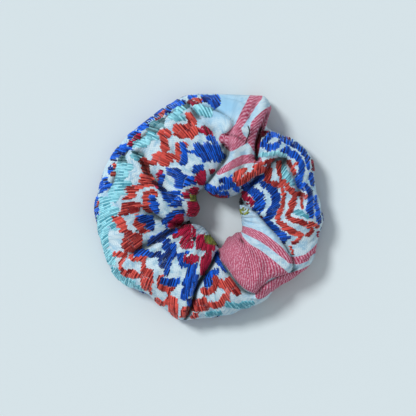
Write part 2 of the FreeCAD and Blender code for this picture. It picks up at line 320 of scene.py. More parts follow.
pinkPatches = [
    [(14.5, -11), (16.5, -14.5), (20, -18), (24.5, -20.6), (28.5, -23.6), (33, -27.2), (38.3, -31.8),
        (40, -34), (35, -34.3), (30, -35), (26, -38.5), (23.5, -42.5), (17.5, -40.3), (13, -36),
        (8.7, -30), (5.2, -25.5), (4.7, -18), (10, -12)],
    [(12.5, 41.3), (8.7, 37.3), (5.3, 36.2), (4.3, 33.6), (6.5, 31), (9.3, 28.2), (11, 28), (14, 29.6),
        (18, 32), (18.3, 34), (16.5, 36), (15.2, 39.5), (15, 42)],
    [(32.5, 53), (28, 49.6), (23.5, 45.8), (20.2, 42), (19.7, 38.5), (19, 35.5), (17.3, 33.5),
        (19.3, 31.3), (21, 29), (22.7, 27), (24.3, 31), (26, 36), (28, 41), (31, 47)],
]


def lumpDistance(lumps, x, y):
    # how far inside a string of round lumps a place lies, negative outside
    best = np.full(x.shape, -1e3)
    for (x0, y0, r0), (x1, y1, r1) in zip(lumps[:-1], lumps[1:]):
        dx, dy = x1 - x0, y1 - y0
        t = np.clip(((x - x0) * dx + (y - y0) * dy) / (dx * dx + dy * dy), 0, 1)
        best = np.maximum(best, r0 + (r1 - r0) * t - np.hypot(x - x0 - t * dx, y - y0 - t * dy))
    return best


def insideDistance(outline, x, y):
    # distance to a closed outline, positive inside it
    path = smoothPath(outline, closed=True, perSpan=6)
    path = np.vstack([path, path[:1]])
    gap, along = distanceTo(path, x, y)
    inside = np.zeros(x.shape, bool)
    for (x0, y0), (x1, y1) in zip(path[:-1], path[1:]):
        if y0 != y1:
            crosses = (y0 > y) != (y1 > y)
            inside ^= crosses & (x < (x1 - x0) * (y - y0) / (y1 - y0) + x0)
    return np.where(inside, np.abs(gap), -np.abs(gap))


def pinkDistance(x, y):
    return np.maximum.reduce([lumpDistance(band, x, y) for band in pinkBands]
                             + [insideDistance(patch, x, y) for patch in pinkPatches])


def plainDistance(x, y):
    return np.maximum.reduce([insideDistance(zone, x, y) for zone in plainZones.values()])


# materials
def newMaterial(name):
    material = bpy.data.materials.new(name)
    material.use_nodes = True
    nodes, links = material.node_tree.nodes, material.node_tree.links
    return material, nodes, links, nodes["Principled BSDF"]


def attributeNode(nodes, name):
    node = nodes.new("ShaderNodeAttribute")
    node.attribute_name = name
    return node


def mixColour(nodes, links, factor, first, second, mode="MIX"):
    node = nodes.new("ShaderNodeMix")
    node.data_type = "RGBA"
    node.blend_type = mode
    for value, socket in ((factor, node.inputs[0]), (first, node.inputs[6]), (second, node.inputs[7])):
        if isinstance(value, bpy.types.NodeSocket):
            links.new(value, socket)
        elif isinstance(value, tuple):
            socket.default_value = (*value, 1)
        else:
            socket.default_value = value
    return node.outputs[2]


def mathNode(nodes, links, operation, first, second=0.0, third=0.0):
    node = nodes.new("ShaderNodeMath")
    node.operation = operation
    for value, socket in zip((first, second, third), node.inputs):
        if isinstance(value, bpy.types.NodeSocket):
            links.new(value, socket)
        else:
            socket.default_value = value
    return node.outputs[0]


def rampNode(nodes, links, value, low, high):
    node = nodes.new("ShaderNodeMapRange")
    node.interpolation_type = "SMOOTHSTEP"
    node.inputs["From Min"].default_value = low
    node.inputs["From Max"].default_value = high
    links.new(value, node.inputs["Value"])
    return node.outputs["Result"]


def noiseNode(nodes, links, vector, scale, detail=2.0):
    node = nodes.new("ShaderNodeTexNoise")
    node.inputs["Scale"].default_value = scale
    node.inputs["Detail"].default_value = detail
    links.new(vector, node.inputs["Vector"])
    return node.outputs[0]


def waveNode(nodes, links, vector, direction, scale, distortion):
    node = nodes.new("ShaderNodeTexWave")
    node.bands_direction = direction
    node.inputs["Scale"].default_value = scale
    node.inputs["Distortion"].default_value = distortion
    links.new(vector, node.inputs["Vector"])
    return node.outputs["Fac"]


def finishShader(nodes, links, shader, colour, height, look):
    # colour, bump and surface feel, set the same way for every cloth and thread
    links.new(colour, shader.inputs["Base Color"])
    bump = nodes.new("ShaderNodeBump")
    bump.inputs["Strength"].default_value = look["bump"]
    bump.inputs["Distance"].default_value = look["bumpDepth"]
    links.new(height, bump.inputs["Height"])
    links.new(bump.outputs[0], shader.inputs["Normal"])
    shader.inputs["Roughness"].default_value = look["roughness"]
    shader.inputs["Sheen Weight"].default_value = look["sheen"]
    shader.inputs["Specular IOR Level"].default_value = look["specular"]


clothLook = {
    "white": (0.68, 0.84, 0.90),
    "washed": (0.33, 0.62, 0.86),
    "whiteShade": (0.36, 0.60, 0.76),
    "whiteThread": (0.80, 0.92, 0.96),
    "weaveGap": (0.20, 0.38, 0.58),
    "pinkThread": (0.43, 0.022, 0.085),
    "paleThread": (0.84, 0.50, 0.64),
    "fleckSize": 0.9,
    "threadPitch": 1.15,
    "ribPitch": 1.45,
    "ribLean": 0.55,
    "slubSize": 1.1,
    "cloudSize": 0.3,
    # strength and depth range of the painted shade deep in folds
    "paintedFoldShade": 0.75,
    "foldDepth": (0.15, 2.6),
    "roughness": 0.85,
    "sheen": 0.06,
    "specular": 0.15,
    "bump": 0.6,
    "bumpDepth": 0.00012,
}


def paintedFoldShade(nodes, links, colour, strength):
    # painted shade: cloth deep inside a fold is coloured darker, standing in for the shade that falls there
    depth = rampNode(nodes, links, attributeNode(nodes, "hollow").outputs["Fac"], *clothLook["foldDepth"])
    shade = mathNode(nodes, links, "MULTIPLY_ADD", depth, -strength, 1.0)
    grey = nodes.new("ShaderNodeCombineColor")
    for socket in grey.inputs:
        links.new(shade, socket)
    return mixColour(nodes, links, 1.0, colour, grey.outputs[0], "MULTIPLY")


def clothMaterial():
    material, nodes, links, shader = newMaterial("striped cotton")
    strip = attributeNode(nodes, "strip").outputs["Vector"]
    across = nodes.new("ShaderNodeSeparateXYZ")
    links.new(strip, across.inputs[0])
    turn = 2 * math.pi / clothLook["threadPitch"]
    warp = mathNode(nodes, links, "SINE", mathNode(nodes, links, "MULTIPLY", across.outputs[0], turn))
    weft = mathNode(nodes, links, "SINE", mathNode(nodes, links, "MULTIPLY", across.outputs[1], turn))
    weave = mathNode(nodes, links, "MULTIPLY", warp, weft)
    leaned = mathNode(nodes, links, "MULTIPLY_ADD", across.outputs[1], clothLook["ribLean"],
                      across.outputs[0])
    rib = mathNode(nodes, links, "SINE", mathNode(nodes, links, "MULTIPLY", leaned,
                                                  2 * math.pi / clothLook["ribPitch"]))
    slub = noiseNode(nodes, links, strip, clothLook["slubSize"], 4)
    cloud = noiseNode(nodes, links, strip, clothLook["cloudSize"])
    # white cloth: pale warp with bluer flecks
    white = mixColour(nodes, links, rampNode(nodes, links, cloud, 0.4, 0.66),
                      clothLook["white"], clothLook["whiteShade"])
    white = mixColour(nodes, links, rampNode(nodes, links, slub, 0.5, 0.8), white,
                      clothLook["whiteThread"])
    white = mixColour(nodes, links, mathNode(nodes, links, "MULTIPLY_ADD", weave, 0.30, 0.12), white,
                      clothLook["weaveGap"])
    white = mixColour(nodes, links, attributeNode(nodes, "wash").outputs["Fac"], white, clothLook["washed"])
    # pink cloth: deep pink warp, with white weft showing as leaning ribs and broken flecks
    flecked = rampNode(nodes, links, noiseNode(nodes, links, strip, clothLook["fleckSize"], 1.5), 0.40, 0.66)
    broken = mathNode(nodes, links, "MULTIPLY", rib,
                      mathNode(nodes, links, "MULTIPLY_ADD", flecked, 0.30, 0.24))
    show = mathNode(nodes, links, "MULTIPLY_ADD", flecked, 0.40, 0.09)
    show = mathNode(nodes, links, "ADD", show, broken)
    show = mathNode(nodes, links, "MULTIPLY_ADD", rampNode(nodes, links, slub, 0.25, 0.85), 0.42, show)
    pink = mixColour(nodes, links, mathNode(nodes, links, "MULTIPLY", show, 0.85), clothLook["pinkThread"],
                     clothLook["paleThread"])
    inPink = rampNode(nodes, links, attributeNode(nodes, "pinkBand").outputs["Fac"], -0.12, 0.12)
    colour = mixColour(nodes, links, inPink, white, pink)
    height = mathNode(nodes, links, "MULTIPLY_ADD", slub, 0.8, weave)
    ribInPink = mathNode(nodes, links, "MULTIPLY", rib, inPink)
    height = mathNode(nodes, links, "MULTIPLY_ADD", ribInPink, 0.8, height)
    # painted shade deep in the folds
    colour = paintedFoldShade(nodes, links, colour, clothLook["paintedFoldShade"])
    finishShader(nodes, links, shader, colour, height, clothLook)
    return material


# each colour runs from a dark to a light end; a stitch's tone picks its place between them, which holds the
# thread's own variation and painted light and shade
flossColours = {
    "blue": ((0.001, 0.006, 0.10), (0.008, 0.17, 0.92)),
    "coral": ((0.22, 0.005, 0.009), (0.92, 0.14, 0.11)),
    "crimson": ((0.12, 0.001, 0.008), (0.62, 0.014, 0.08)),
    "turquoise": ((0.08, 0.37, 0.48), (0.44, 0.90, 1.0)),
    "green": ((0.10, 0.12, 0.015), (0.34, 0.40, 0.08)),
    "black": ((0.006, 0.006, 0.010), (0.02, 0.02, 0.03)),
}


flossLook = {"fibreSize": 900, "fibreShow": 0.8, "roughness": 0.5, "sheen": 0.03, "specular": 0.25,
             "bump": 0.4, "bumpDepth": 0.0001}


def flossMaterial(colourName):
    material, nodes, links, shader = newMaterial(colourName + " floss")
    dark, light = flossColours[colourName]
    # the stitch's tone, holding painted light and shade as well as the thread's own variation
    toneAndPaintedLight = attributeNode(nodes, "toneAndPaintedLight").outputs["Fac"]
    place = nodes.new("ShaderNodeTexCoord")
    fibre = noiseNode(nodes, links, place.outputs["Object"], flossLook["fibreSize"], 3)
    show = flossLook["fibreShow"]
    spread = mathNode(nodes, links, "MULTIPLY_ADD", fibre, show, -show / 2)
    colour = mixColour(nodes, links, mathNode(nodes, links, "ADD", toneAndPaintedLight, spread), dark, light)
    # painted shade in the folds, the same as on the cloth
    colour = paintedFoldShade(nodes, links, colour, clothLook["paintedFoldShade"])
    finishShader(nodes, links, shader, colour, fibre, flossLook)
    return material


def addMesh(name, points, faces, material):
    mesh = bpy.data.meshes.new(name)
    mesh.vertices.add(len(points))
    mesh.vertices.foreach_set("co", np.asarray(points, np.float32).ravel())
    sides = faces.shape[1]
    mesh.loops.add(faces.size)
    mesh.loops.foreach_set("vertex_index", faces.astype(np.int32).ravel())
    mesh.polygons.add(len(faces))
    mesh.polygons.foreach_set("loop_start", np.arange(0, faces.size, sides, dtype=np.int32))
    mesh.polygons.foreach_set("use_smooth", np.ones(len(faces), bool))
    mesh.update(calc_edges=True)
    mesh.validate()
    mesh.materials.append(material)
    piece = bpy.data.objects.new(name, mesh)
    bpy.context.collection.objects.link(piece)
    return piece


def addValues(piece, name, values):
    kind = "FLOAT_VECTOR" if values.ndim == 2 else "FLOAT"
    attribute = piece.data.attributes.new(name, kind, "POINT")
    attribute.data.foreach_set("vector" if values.ndim == 2 else "value", values.astype(np.float32).ravel())


def gridFaces(columns, rows):
    i = np.arange(columns)[:, None]
    j = np.arange(rows)[None, :]
    a = i * rows + j
    b = ((i + 1) % columns) * rows + j
    c = ((i + 1) % columns) * rows + (j + 1) % rows
    d = i * rows + (j + 1) % rows
    return np.stack([a, d, c, b], axis=-1).reshape(-1, 4)


def blendAcross(piece):
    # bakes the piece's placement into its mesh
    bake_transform(piece)


def smoothGrid(grid, reach):
    # average over the neighbouring grid places, twice for a soft edge
    for axis in (0, 1, 0, 1):
        grid = sum(np.roll(grid, k, axis=axis) for k in range(-reach, reach + 1)) / (2 * reach + 1)
    return grid


class ClothSurface:
    # looks up places on the folded tube by ring column and section row, in mm
    def __init__(self, points, values):
        self.points = points
        self.values = values
        alongRing = np.roll(points, -1, axis=0) - np.roll(points, 1, axis=0)
        alongRow = np.roll(points, -1, axis=1) - np.roll(points, 1, axis=1)
        normals = np.cross(alongRow, alongRing)
        self.normals = normals / np.linalg.norm(normals, axis=2, keepdims=True)
        # how far each place lies below its neighbours; it sets the painted fold shade
        around = smoothGrid(points[..., 2], casingLook["hollowReach"])
        self.values["hollow"] = np.clip(around - points[..., 2], 0, 4)
        steps = np.linalg.norm(np.diff(np.concatenate([points, points[:, :1]], axis=1), axis=1), axis=2)
        self.girth = np.cumsum(steps, axis=1) - steps

    def at(self, grid, column, row):
        columns, rows = grid.shape[:2]
        i, j = np.floor(column).astype(int), np.floor(row).astype(int)
        u, v = column - i, row - j
        if grid.ndim == 3:
            u, v = u[..., None], v[..., None]
        i0, i1, j0, j1 = i % columns, (i + 1) % columns, j % rows, (j + 1) % rows
        near = grid[i0, j0] * (1 - u) + grid[i1, j0] * u
        far = grid[i0, j1] * (1 - u) + grid[i1, j1] * u
        return near * (1 - v) + far * v


def makeCasing():
    x, y, height, topShare, share, plan = puffedTube()
    height = pressFolds(x, y, height, topShare, share)
    points = np.stack([x, y, np.maximum(height, casingLook["floorGap"])], axis=-1)
    surface = ClothSurface(points, {"share": share, "plain": plainDistance(*plan)})
    cloth = addMesh("casing_cloth", points.reshape(-1, 3) * mm, gridFaces(*x.shape), clothMaterial())
    ring = np.broadcast_to(ringColumns()[:, None] * casingLook["stripRadius"], x.shape)
    strip = np.stack([ring, surface.girth, np.zeros_like(x)], axis=-1)
    addValues(cloth, "strip", strip.reshape(-1, 3))
    addValues(cloth, "hollow", surface.values["hollow"].ravel())
    wash = sum(much * np.exp(-((x - atX) ** 2 + (y - atY) ** 2) / size ** 2)
               for atX, atY, size, much in washList)
    addValues(cloth, "wash", np.clip(wash, 0, 1).ravel())
    addValues(cloth, "pinkBand", np.clip(pinkDistance(*plan), -3, 3).ravel())
    solid = cloth.modifiers.new("cloth thickness", "SOLIDIFY")
    solid.thickness = casingLook["clothThickness"] * mm
    solid.offset = -1
    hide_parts("casing_left", "casing_right")
    blendAcross(cloth)
    print("casing made")
    return cloth, surface


# satin stitches laid on the cloth; sizes in mm
stitchLook = {
    "lines": 420, "finer": 4, "slant": 0.32, "height": 0.42, "sink": 0.12, "longest": 6.0, "shortest": 0.7,
    "jag": 0.65, "jagRows": 10, "jagLine": 0.6, "widen": 1.18, "widenPairs": 1.12, "crown": 0.3,
    "closest": 0.4, "spread": 1.015, "grow": 0.55, "growLobe": 0.1, "lobeFrom": 12,
    "toneSpread": 0.38, "toneStep": 0.27, "nearLines": 1, "strideLines": 10, "overlap": 0.7,
    "overPlain": ("green", "black", "turquoise"),
    "along": (0, 0.05, 0.2, 0.5, 0.8, 0.95, 1),
    "fullness": (0, 0.75, 1, 1, 1, 0.75, 0),
}

# every motif is a string of round lumps (x, y, radius in mm), painted in this order;
# tone makes it darker or lighter than the rest of its colour, partly the thread's own variation and partly
# painted light and shade where the motif lies lit or in shade
motifs = [
    # back layer at the upper left, and its short dashes
    ("blue", 0.35, [(-10, 56, 1), (-8, 55.5, 1.5)]),
    ("blue", 0.0, [(-3, 55.6, 1.8), (2, 55, 2.6), (3.5, 51.5, 1.8), (3.2, 49.8, 1)]),
    ("blue", 0.35, [(-21, 51.3, 1.2), (-17, 52.8, 1.7), (-14, 54, 1.3)]),
    ("blue", 0.0, [(-26.7, 46.8, 1.4), (-23.5, 48.5, 1.8), (-21, 49.3, 1.3)]),
    ("blue", 0.35, [(-35.8, 40.2, 1.2), (-32, 42.8, 1.9), (-29, 44.6, 1.5)]),
    ("blue", -0.1, [(-40, 36.5, 1.9), (-37.5, 37.2, 1.8), (-35.3, 36.3, 1)]),
    ("blue", -0.3, [(-41.5, 31.3, 1), (-39.5, 30, 0.7)]),
    ("blue", 0.35, [(-49, 25, 1.3), (-46, 28, 2.1), (-43.5, 30.5, 1.9)]),
    ("blue", 0.2, [(-44.5, 27.5, 1), (-43, 28.3, 1)]),
    ("blue", 0.05, [(-50.5, 19, 1.6), (-48.5, 21, 1.6), (-46, 21, 1.6), (-46.5, 17.5, 1.2)]),
    ("blue", 0.3, [(-55.2, 8.8, 1.3), (-53.5, 11.5, 2.1), (-53, 14, 1.5)]),
    ("blue", 0.1, [(-52, 12.5, 1.1), (-50.5, 10.5, 1)]),
    ("blue", 0.3, [(-57.8, -3, 1), (-57.4, 1, 1.3), (-57, 4.5, 1.1)]),
    ("coral", 0.2, [(-8, 53.8, 0.7), (-5.5, 54.3, 1.2)]),
    ("crimson", -0.3, [(-10.5, 53.8, 0.6), (-6, 52, 0.6)]),
    ("coral", 0.1, [(-25, 46.5, 0.6), (-23, 49.3, 0.6)]),
    ("crimson", -0.2, [(-27.5, 44.8, 0.6), (-25.5, 46, 0.6)]),
    ("crimson", -0.2, [(-40.5, 32.3, 1), (-38, 34.5, 1), (-36, 37, 0.8)]),
    ("coral", 0.1, [(-49.2, 22.3, 0.5), (-46, 20, 0.6)]),
    ("coral", -0.1, [(-50, 16.5, 0.7), (-47.5, 18, 1), (-46.5, 19.5, 0.6)]),
    ("coral", 0.2, [(-57, 1, 0.6), (-56, 3.5, 0.6)]),
    # turquoise band
    ("turquoise", 0.0, [(-7, 51.2, 1), (-4, 49, 2.3), (-1.2, 48, 2.5)]),
    ("turquoise", 0.2, [(-17, 46.5, 1.6), (-15.5, 49.3, 1.5), (-11.5, 51.3, 1.2)]),
    ("turquoise", -0.3, [(-19.5, 46.2, 1.5), (-16, 45, 1.1), (-13, 44.3, 0.8)]),
    ("turquoise", 0.1, [(-30, 38, 2), (-28, 41, 2.6), (-24.5, 41.5, 2.1), (-24, 44.5, 1)]),
    ("turquoise", 0.1, [(-37.5, 31.7, 1.5), (-34.5, 32.5, 2), (-31.5, 34.5, 1.8)]),
    ("turquoise", -0.5, [(-29.5, 35, 1.1), (-26, 35.5, 1)]),
    # painted shade: this turquoise is darkened where it lies in a shaded dent
    ("turquoise", -0.8, [(-38.5, 27.3, 1.4), (-35, 25.3, 1.8)]),
    ("turquoise", 0.3, [(-44.5, 24.5, 1.8), (-43.5, 20, 3.1), (-45.5, 15.5, 2.6)]),
    ("turquoise", 0.1, [(-42, 21, 1.4), (-39, 20, 1.2)]),
    ("turquoise", 0.2, [(-41, 12.7, 1.4), (-46.5, 10, 2.9), (-48.7, 5.5, 2.7)]),
    ("turquoise", 0.2, [(-44, 8, 1.4), (-42, 7.3, 0.8)]),
    ("turquoise", 0.3, [(-53.5, 3, 2.6), (-52, -1.5, 3.1), (-48, -1.5, 1.8)]),
    ("turquoise", 0.0, [(-51, -6, 2), (-48.5, -8.5, 1.9), (-45.5, -10.5, 0.8)]),
    ("turquoise", 0.3, [(-55.5, -5, 1.6), (-54.5, -9, 2.3), (-53.7, -14, 2.9), (-53.7, -18.5, 2)]),
    ("turquoise", 0.2, [(-52, -22.5, 1.7), (-50, -27, 2), (-48.5, -25.5, 1)]),
    ("turquoise", 0.3, [(-48.5, -31, 1.3), (-46.3, -33.8, 1.7), (-42, -36.7, 2), (-39, -38.7, 1.6)]),
    ("turquoise", -0.2, [(-37, -39.7, 1), (-34, -41, 0.7)]),
    # coral row of the left panel, from the top round to the bottom
    ("coral", -0.3, [(-11.2, 47, 0.9), (-10, 45.5, 1.8)]),
    ("coral", 0.1, [(-9.3, 44, 2), (-8, 43.2, 1.3), (-10, 41.5, 1.3)]),
    ("coral", 0.1, [(-17, 40, 1.9), (-14, 38.2, 3), (-10, 37.8, 3.1), (-7, 38.5, 1.7)]),
    ("crimson", 0.2, [(-5, 38.8, 0.8), (-2, 38, 1), (0.5, 37, 1)]),
    ("crimson", -0.2, [(-4, 41.3, 0.7), (-1, 40, 0.9)]),
    ("coral", 0.1, [(-25, 37.8, 1.4), (-23, 37.5, 2.4), (-21.2, 36.5, 1.6)]),
    ("coral", 0.1, [(-20, 36.8, 0.6), (-17.5, 36.7, 0.6)]),
    ("coral", 0.0, [(-23.3, 34, 2.1), (-22.7, 31.5, 2.2), (-23.2, 29, 1)]),
    # painted shade: the shaded left half of this coral motif is darkened
    ("coral", -0.5, [(-27.7, 25, 1.8), (-25.7, 25.3, 2.8)]),
    ("coral", 0.1, [(-23, 25, 3.1), (-20.7, 25, 2.3), (-23, 22.6, 1.9)]),
    ("coral", 0.1, [(-19, 26, 1), (-16, 25.5, 0.9), (-15.3, 23.3, 0.7)]),
    ("coral", 0.3, [(-16.3, 27.5, 1), (-16.3, 31, 1.5), (-13.5, 31.8, 1.2), (-12, 30.3, 1)]),
    ("coral", -0.6, [(-34, 24, 1.4), (-32, 22, 1.7), (-32.3, 19.5, 1.4), (-31, 17, 1.2)]),
    ("coral", -0.5, [(-30.5, 23, 0.8), (-27, 22, 0.8)]),
    ("coral", 0.1, [(-33.8, 14.5, 1.6), (-31.5, 14.3, 2.4), (-29.5, 12.5, 1.5), (-33, 11.7, 1.2)]),
    ("crimson", -0.3, [(-28.5, 13, 0.7), (-26, 11, 0.7), (-25, 9.5, 0.5)]),
    ("crimson", 0.0, [(-24.5, 19, 0.5), (-26, 17, 1), (-26, 14.8, 0.7)]),
    ("coral", 0.2, [(-41, 8.7, 1.4), (-38, 9.8, 1.6), (-35.5, 10.8, 0.9), (-33, 11, 0.8)]),
    ("coral", 0.1, [(-43, 4.8, 0.5), (-40, 5.8, 1.3), (-38.7, 7.6, 1.2)]),
    ("coral", 0.0, [(-33, 6.5, 1.3), (-31.3, 7.3, 1.4), (-31.5, 4, 1.5), (-32, 1, 1.2), (-30, -1.5, 0.9)]),
    ("coral", 0.0, [(-28.7, 8.8, 0.9), (-27, 6, 1)]),
    ("coral", -0.7, [(-43, 0.3, 1.8), (-38.7, 0.3, 3.1), (-36, 1, 1.6)]),
    ("coral", -0.4, [(-45, -3, 0.8), (-42, -2.6, 0.9)]),
    ("coral", 0.2, [(-48.7, -4.8, 0.8), (-46.5, -6, 1.9), (-45, -8, 1.9), (-42.3, -10, 1.2),
        (-44.5, -11.5, 0.8)]),
    ("coral", -0.5, [(-37, -4, 1.3), (-36.5, -7, 1.4), (-34.5, -9.5, 1.7)]),
    ("coral", -0.1, [(-34, -10.2, 1.5), (-31, -10.3, 1.2), (-35, -12, 1)]),
    ("coral", -0.2, [(-42.5, -12.5, 0.8), (-40, -12, 0.9)]),
    ("coral", -0.4, [(-42.7, -18, 2.1), (-39.5, -15, 2.7), (-36.5, -15.5, 2.3), (-37, -18.5, 2.1),
        (-41, -19.5, 2)]),
    ("coral", 0.3, [(-48.3, -23.3, 0.7), (-45.5, -23.6, 1.4), (-42.8, -22.7, 1)]),
    ("coral", -0.2, [(-41.5, -21.5, 1.2), (-39, -21.5, 1)]),
    ("coral", 0.2, [(-42.5, -25, 0.4), (-45.3, -28.5, 0.6), (-45.2, -31, 0.8)]),
    ("coral", 0.2, [(-39.5, -25.2, 1.3), (-36, -24.8, 1.6), (-33, -24, 1.3), (-31, -23.3, 0.8)]),
    ("coral", 0.1, [(-33.5, -26, 1), (-33, -30, 1.2)]),
    ("coral", -0.1, [(-44, -32, 1.3), (-41, -32.7, 1.8), (-38, -33, 1.7), (-35.5, -34.5, 0.9)]),
    ("coral", 0.0, [(-33, -32.5, 1.8), (-30, -32, 1.6), (-31.5, -36, 2.9), (-32.5, -39, 1.8),
        (-30.5, -41, 0.9)]),
    ("coral", 0.1, [(-30.3, -42, 0.6), (-29.8, -43.3, 0.5)]),
    ("coral", -0.1, [(-24.5, -34.8, 1.1), (-25.8, -37.5, 0.9), (-25, -40, 1.1), (-22, -41, 1.3),
        (-19.5, -40, 1.2), (-17.7, -38.5, 0.9)]),
    ("coral", 0.2, [(-20.5, -41.8, 0.5), (-21, -44, 0.5)]),
    ("coral", 0.3, [(-27.3, -46.3, 0.8), (-24.5, -48.7, 1.1), (-22, -47.7, 0.9), (-20, -45, 1)]),
    ("coral", 0.3, [(-18.7, -46.5, 2.1), (-18.8, -50.5, 2.4), (-17.7, -53.5, 1.5), (-17.2, -56, 0.8)]),
    ("coral", -0.6, [(-12.3, -51.5, 1.6), (-13.7, -54, 1.4)]),
    # blue rows of the left panel
    ("blue", 0.0, [(-6.7, 31, 1.7), (-5, 28, 2.3), (-2, 30, 2.5), (-1.5, 25.8, 2.8), (2, 28.5, 2.6),
        (3.8, 25, 2.2)]),
    ("blue", -0.1, [(-1, 35.3, 0.9), (1.3, 34.8, 0.9), (3, 31.5, 0.9), (4.5, 28.5, 0.8), (7.3, 25.5, 0.8)]),
    ("blue", 0.1, [(-11, 28, 0.5), (-8, 28.2, 0.6)]),
    ("blue", 0.1, [(-14, 32, 0.8), (-12.5, 29, 1), (-13, 25.5, 1.8), (-14, 22.3, 1.2)]),
    ("blue", 0.0, [(-20, 18.5, 1.8), (-17.5, 18, 2.2), (-15.5, 15, 2.2), (-13, 13.5, 2.8),
        (-10.3, 14.5, 1.4)]),
    ("blue", -0.1, [(-17, 12, 1), (-14.5, 11, 1.7)]),
    ("blue", -0.5, [(-23.5, 16, 1), (-25.3, 14, 0.8), (-24.8, 10, 0.8), (-22.7, 7.5, 1.3)]),
    ("blue", -0.4, [(-22, 6, 1.8), (-19, 5.5, 2.2), (-16.5, 6, 2.8), (-14.8, 3.5, 1.9), (-18.5, 2.5, 2.1)]),
    ("blue", -0.1, [(-29, 5.5, 1.2), (-28.5, 2.5, 1.8), (-27.5, 0, 1.5), (-26.5, -1.5, 1.2)]),
    ("blue", -0.5, [(-8, 18.5, 1.3), (-6.5, 20, 1.5), (-4, 20, 1.1)]),
    ("blue", -0.5, [(-8.7, 15, 1.2), (-7.7, 12.8, 1)]),
    ("blue", -0.6, [(-36, -5, 0.9), (-33, -5.5, 1.6), (-30.5, -5.3, 1.8), (-30.5, -8.5, 1.9),
        (-28.7, -10.2, 1)]),
    ("blue", -0.2, [(-31, -18, 0.9), (-28.5, -16, 1.7), (-25.5, -15, 1.6), (-22.5, -13, 1.4),
        (-20, -11.5, 1.2)]),
    ("blue", -0.1, [(-18.5, -12, 0.9), (-15.5, -11, 0.6)]),
    ("blue", -0.3, [(-23.2, -7.3, 1), (-19.5, -4.5, 1.6), (-17, -2.5, 1.7), (-14, -2.3, 1.2)]),
    ("blue", -0.2, [(-22, -9.3, 0.7), (-20, -9.6, 0.7)]),
    ("blue", 0.0, [(-38, -23.3, 0.6), (-35, -22, 1.2), (-31.5, -22, 1.2), (-28.5, -24, 1),
        (-25.5, -23, 1)]),
    ("blue", -0.3, [(-21.5, -16, 0.9), (-22, -19.5, 1.7), (-19, -19.5, 2.1), (-18.5, -22.5, 1.9),
        (-21.5, -24.5, 2.1), (-23.5, -27.5, 2.4), (-21, -28, 1.5)]),
    ("blue", -0.2, [(-21, -30, 0.7), (-22.5, -33.5, 0.8)]),
    ("blue", -0.2, [(-23.5, -36.7, 1.5), (-20.5, -37, 1.8), (-17.5, -37.5, 1.6), (-16, -36, 1)]),
    ("blue", -0.2, [(-15, -24, 1.4), (-13.5, -27.5, 1.9), (-11, -28.8, 1.2)]),
    ("blue", -0.1, [(-12.7, -22.6, 0.9), (-11, -22.3, 0.5)]),
    ("blue", 0.2, [(-7, -27.3, 0.9), (-9.5, -31.5, 1.8), (-9.5, -35, 2.2), (-12, -38, 1.6),
        (-8, -38, 1.4), (-10, -42, 2.2), (-13, -42.5, 1.7), (-13, -44.7, 1.4)]),
    ("blue", -0.3, [(-10.7, -46.2, 0.7), (-10, -49, 0.6)]),
    # roses by the hole
    ("crimson", 0.1, [(-7, 14.8, 1), (-5, 15.5, 1.9), (-3.5, 17.5, 1.4), (-4.5, 12.8, 1.4)]),
    ("crimson", -0.2, [(1, 18, 1.2), (3, 18.8, 0.8)]),
    ("crimson", -0.4, [(-12.2, 6, 1.4), (-9.8, 7.6, 1.8), (-7, 9.1, 1.3)]),
    ("crimson", 0.0, [(-10, 1.6, 1.7), (-8, 0.5, 2.6), (-6, 0.3, 1.8), (-9.3, -2.4, 1.8)]),
    ("crimson", 0.1, [(-20, -9, 1.5), (-17, -7, 2.3), (-15.2, -4.8, 1.9)]),
    ("crimson", 0.0, [(-18, -14.5, 0.7), (-16.3, -13.5, 0.8)]),
    ("crimson", 0.0, [(-14.5, -12, 1.6), (-11.3, -10.8, 2.6), (-9.3, -12.5, 2.4), (-11, -15.5, 2.8),
        (-12.8, -18, 2.3), (-10.5, -18.5, 1.7)]),
    ("crimson", 0.1, [(-12, -24.8, 1.3), (-9.5, -26, 1.9), (-7, -25.5, 1.5)]),
    ("crimson", 0.1, [(-4.3, -15.3, 2), (-5, -18.5, 2.1), (-2, -19.7, 1.9), (1, -20, 1.5)]),
    ("crimson", 0.4, [(-0.5, -22.5, 1.2), (-2, -26, 2), (-3.5, -30, 1.6), (-4, -33, 0.8)]),
    ("green", -0.3, [(-9, 5.5, 1.2), (-8.3, 4.3, 1)]),
    ("green", 0.2, [(-1.5, -15, 1.4), (0.5, -16.3, 1.5), (2.5, -18, 0.8)]),
    # bottom panel, between the deep fold and the plain flap
    ("blue", -0.1, [(3.5, -23, 0.9), (4.5, -25.5, 1.8), (6.5, -29, 1.1), (8, -31.5, 0.8)]),
    ("blue", 0.0, [(3.7, -31.5, 0.9), (0.7, -33.5, 1.3), (-1.3, -37, 1.9), (0.5, -38, 1.8),
        (-1, -40.7, 1)]),
    ("coral", -0.2, [(2, -35, 1), (4, -37.5, 1.5), (7, -38.5, 1.9), (10.5, -37, 2.6), (13, -40, 2.7),
        (14, -43, 1.3)]),
    ("coral", -0.1, [(8.7, -41.2, 1), (9, -43, 0.9), (6.5, -46.5, 2), (9, -45.8, 1.2)]),
    ("coral", -0.1, [(-3.7, -41.3, 1), (-1.5, -42.5, 1.4), (1.5, -41, 1.4), (2.7, -38.5, 0.9)]),
    ("coral", -0.5, [(-7.7, -48.2, 1.8), (-4.5, -47.5, 2.7), (-2, -49.5, 1.6), (-5, -51, 1.4),
        (-8.5, -51.5, 1)]),
    ("coral", -0.2, [(-3, -44.3, 0.7), (-3.3, -45.5, 0.8)]),
    ("coral", -0.3, [(0.5, -48.3, 1), (3.5, -49.5, 1.4), (6, -48, 1.4)]),
    ("coral", -0.6, [(-9.7, -55.3, 0.8), (-6.5, -54, 0.9)]),
    ("turquoise", -0.8, [(8.5, -48.3, 1), (14, -49.5, 1.1), (17.5, -49, 1.9), (21, -48, 1.3)]),
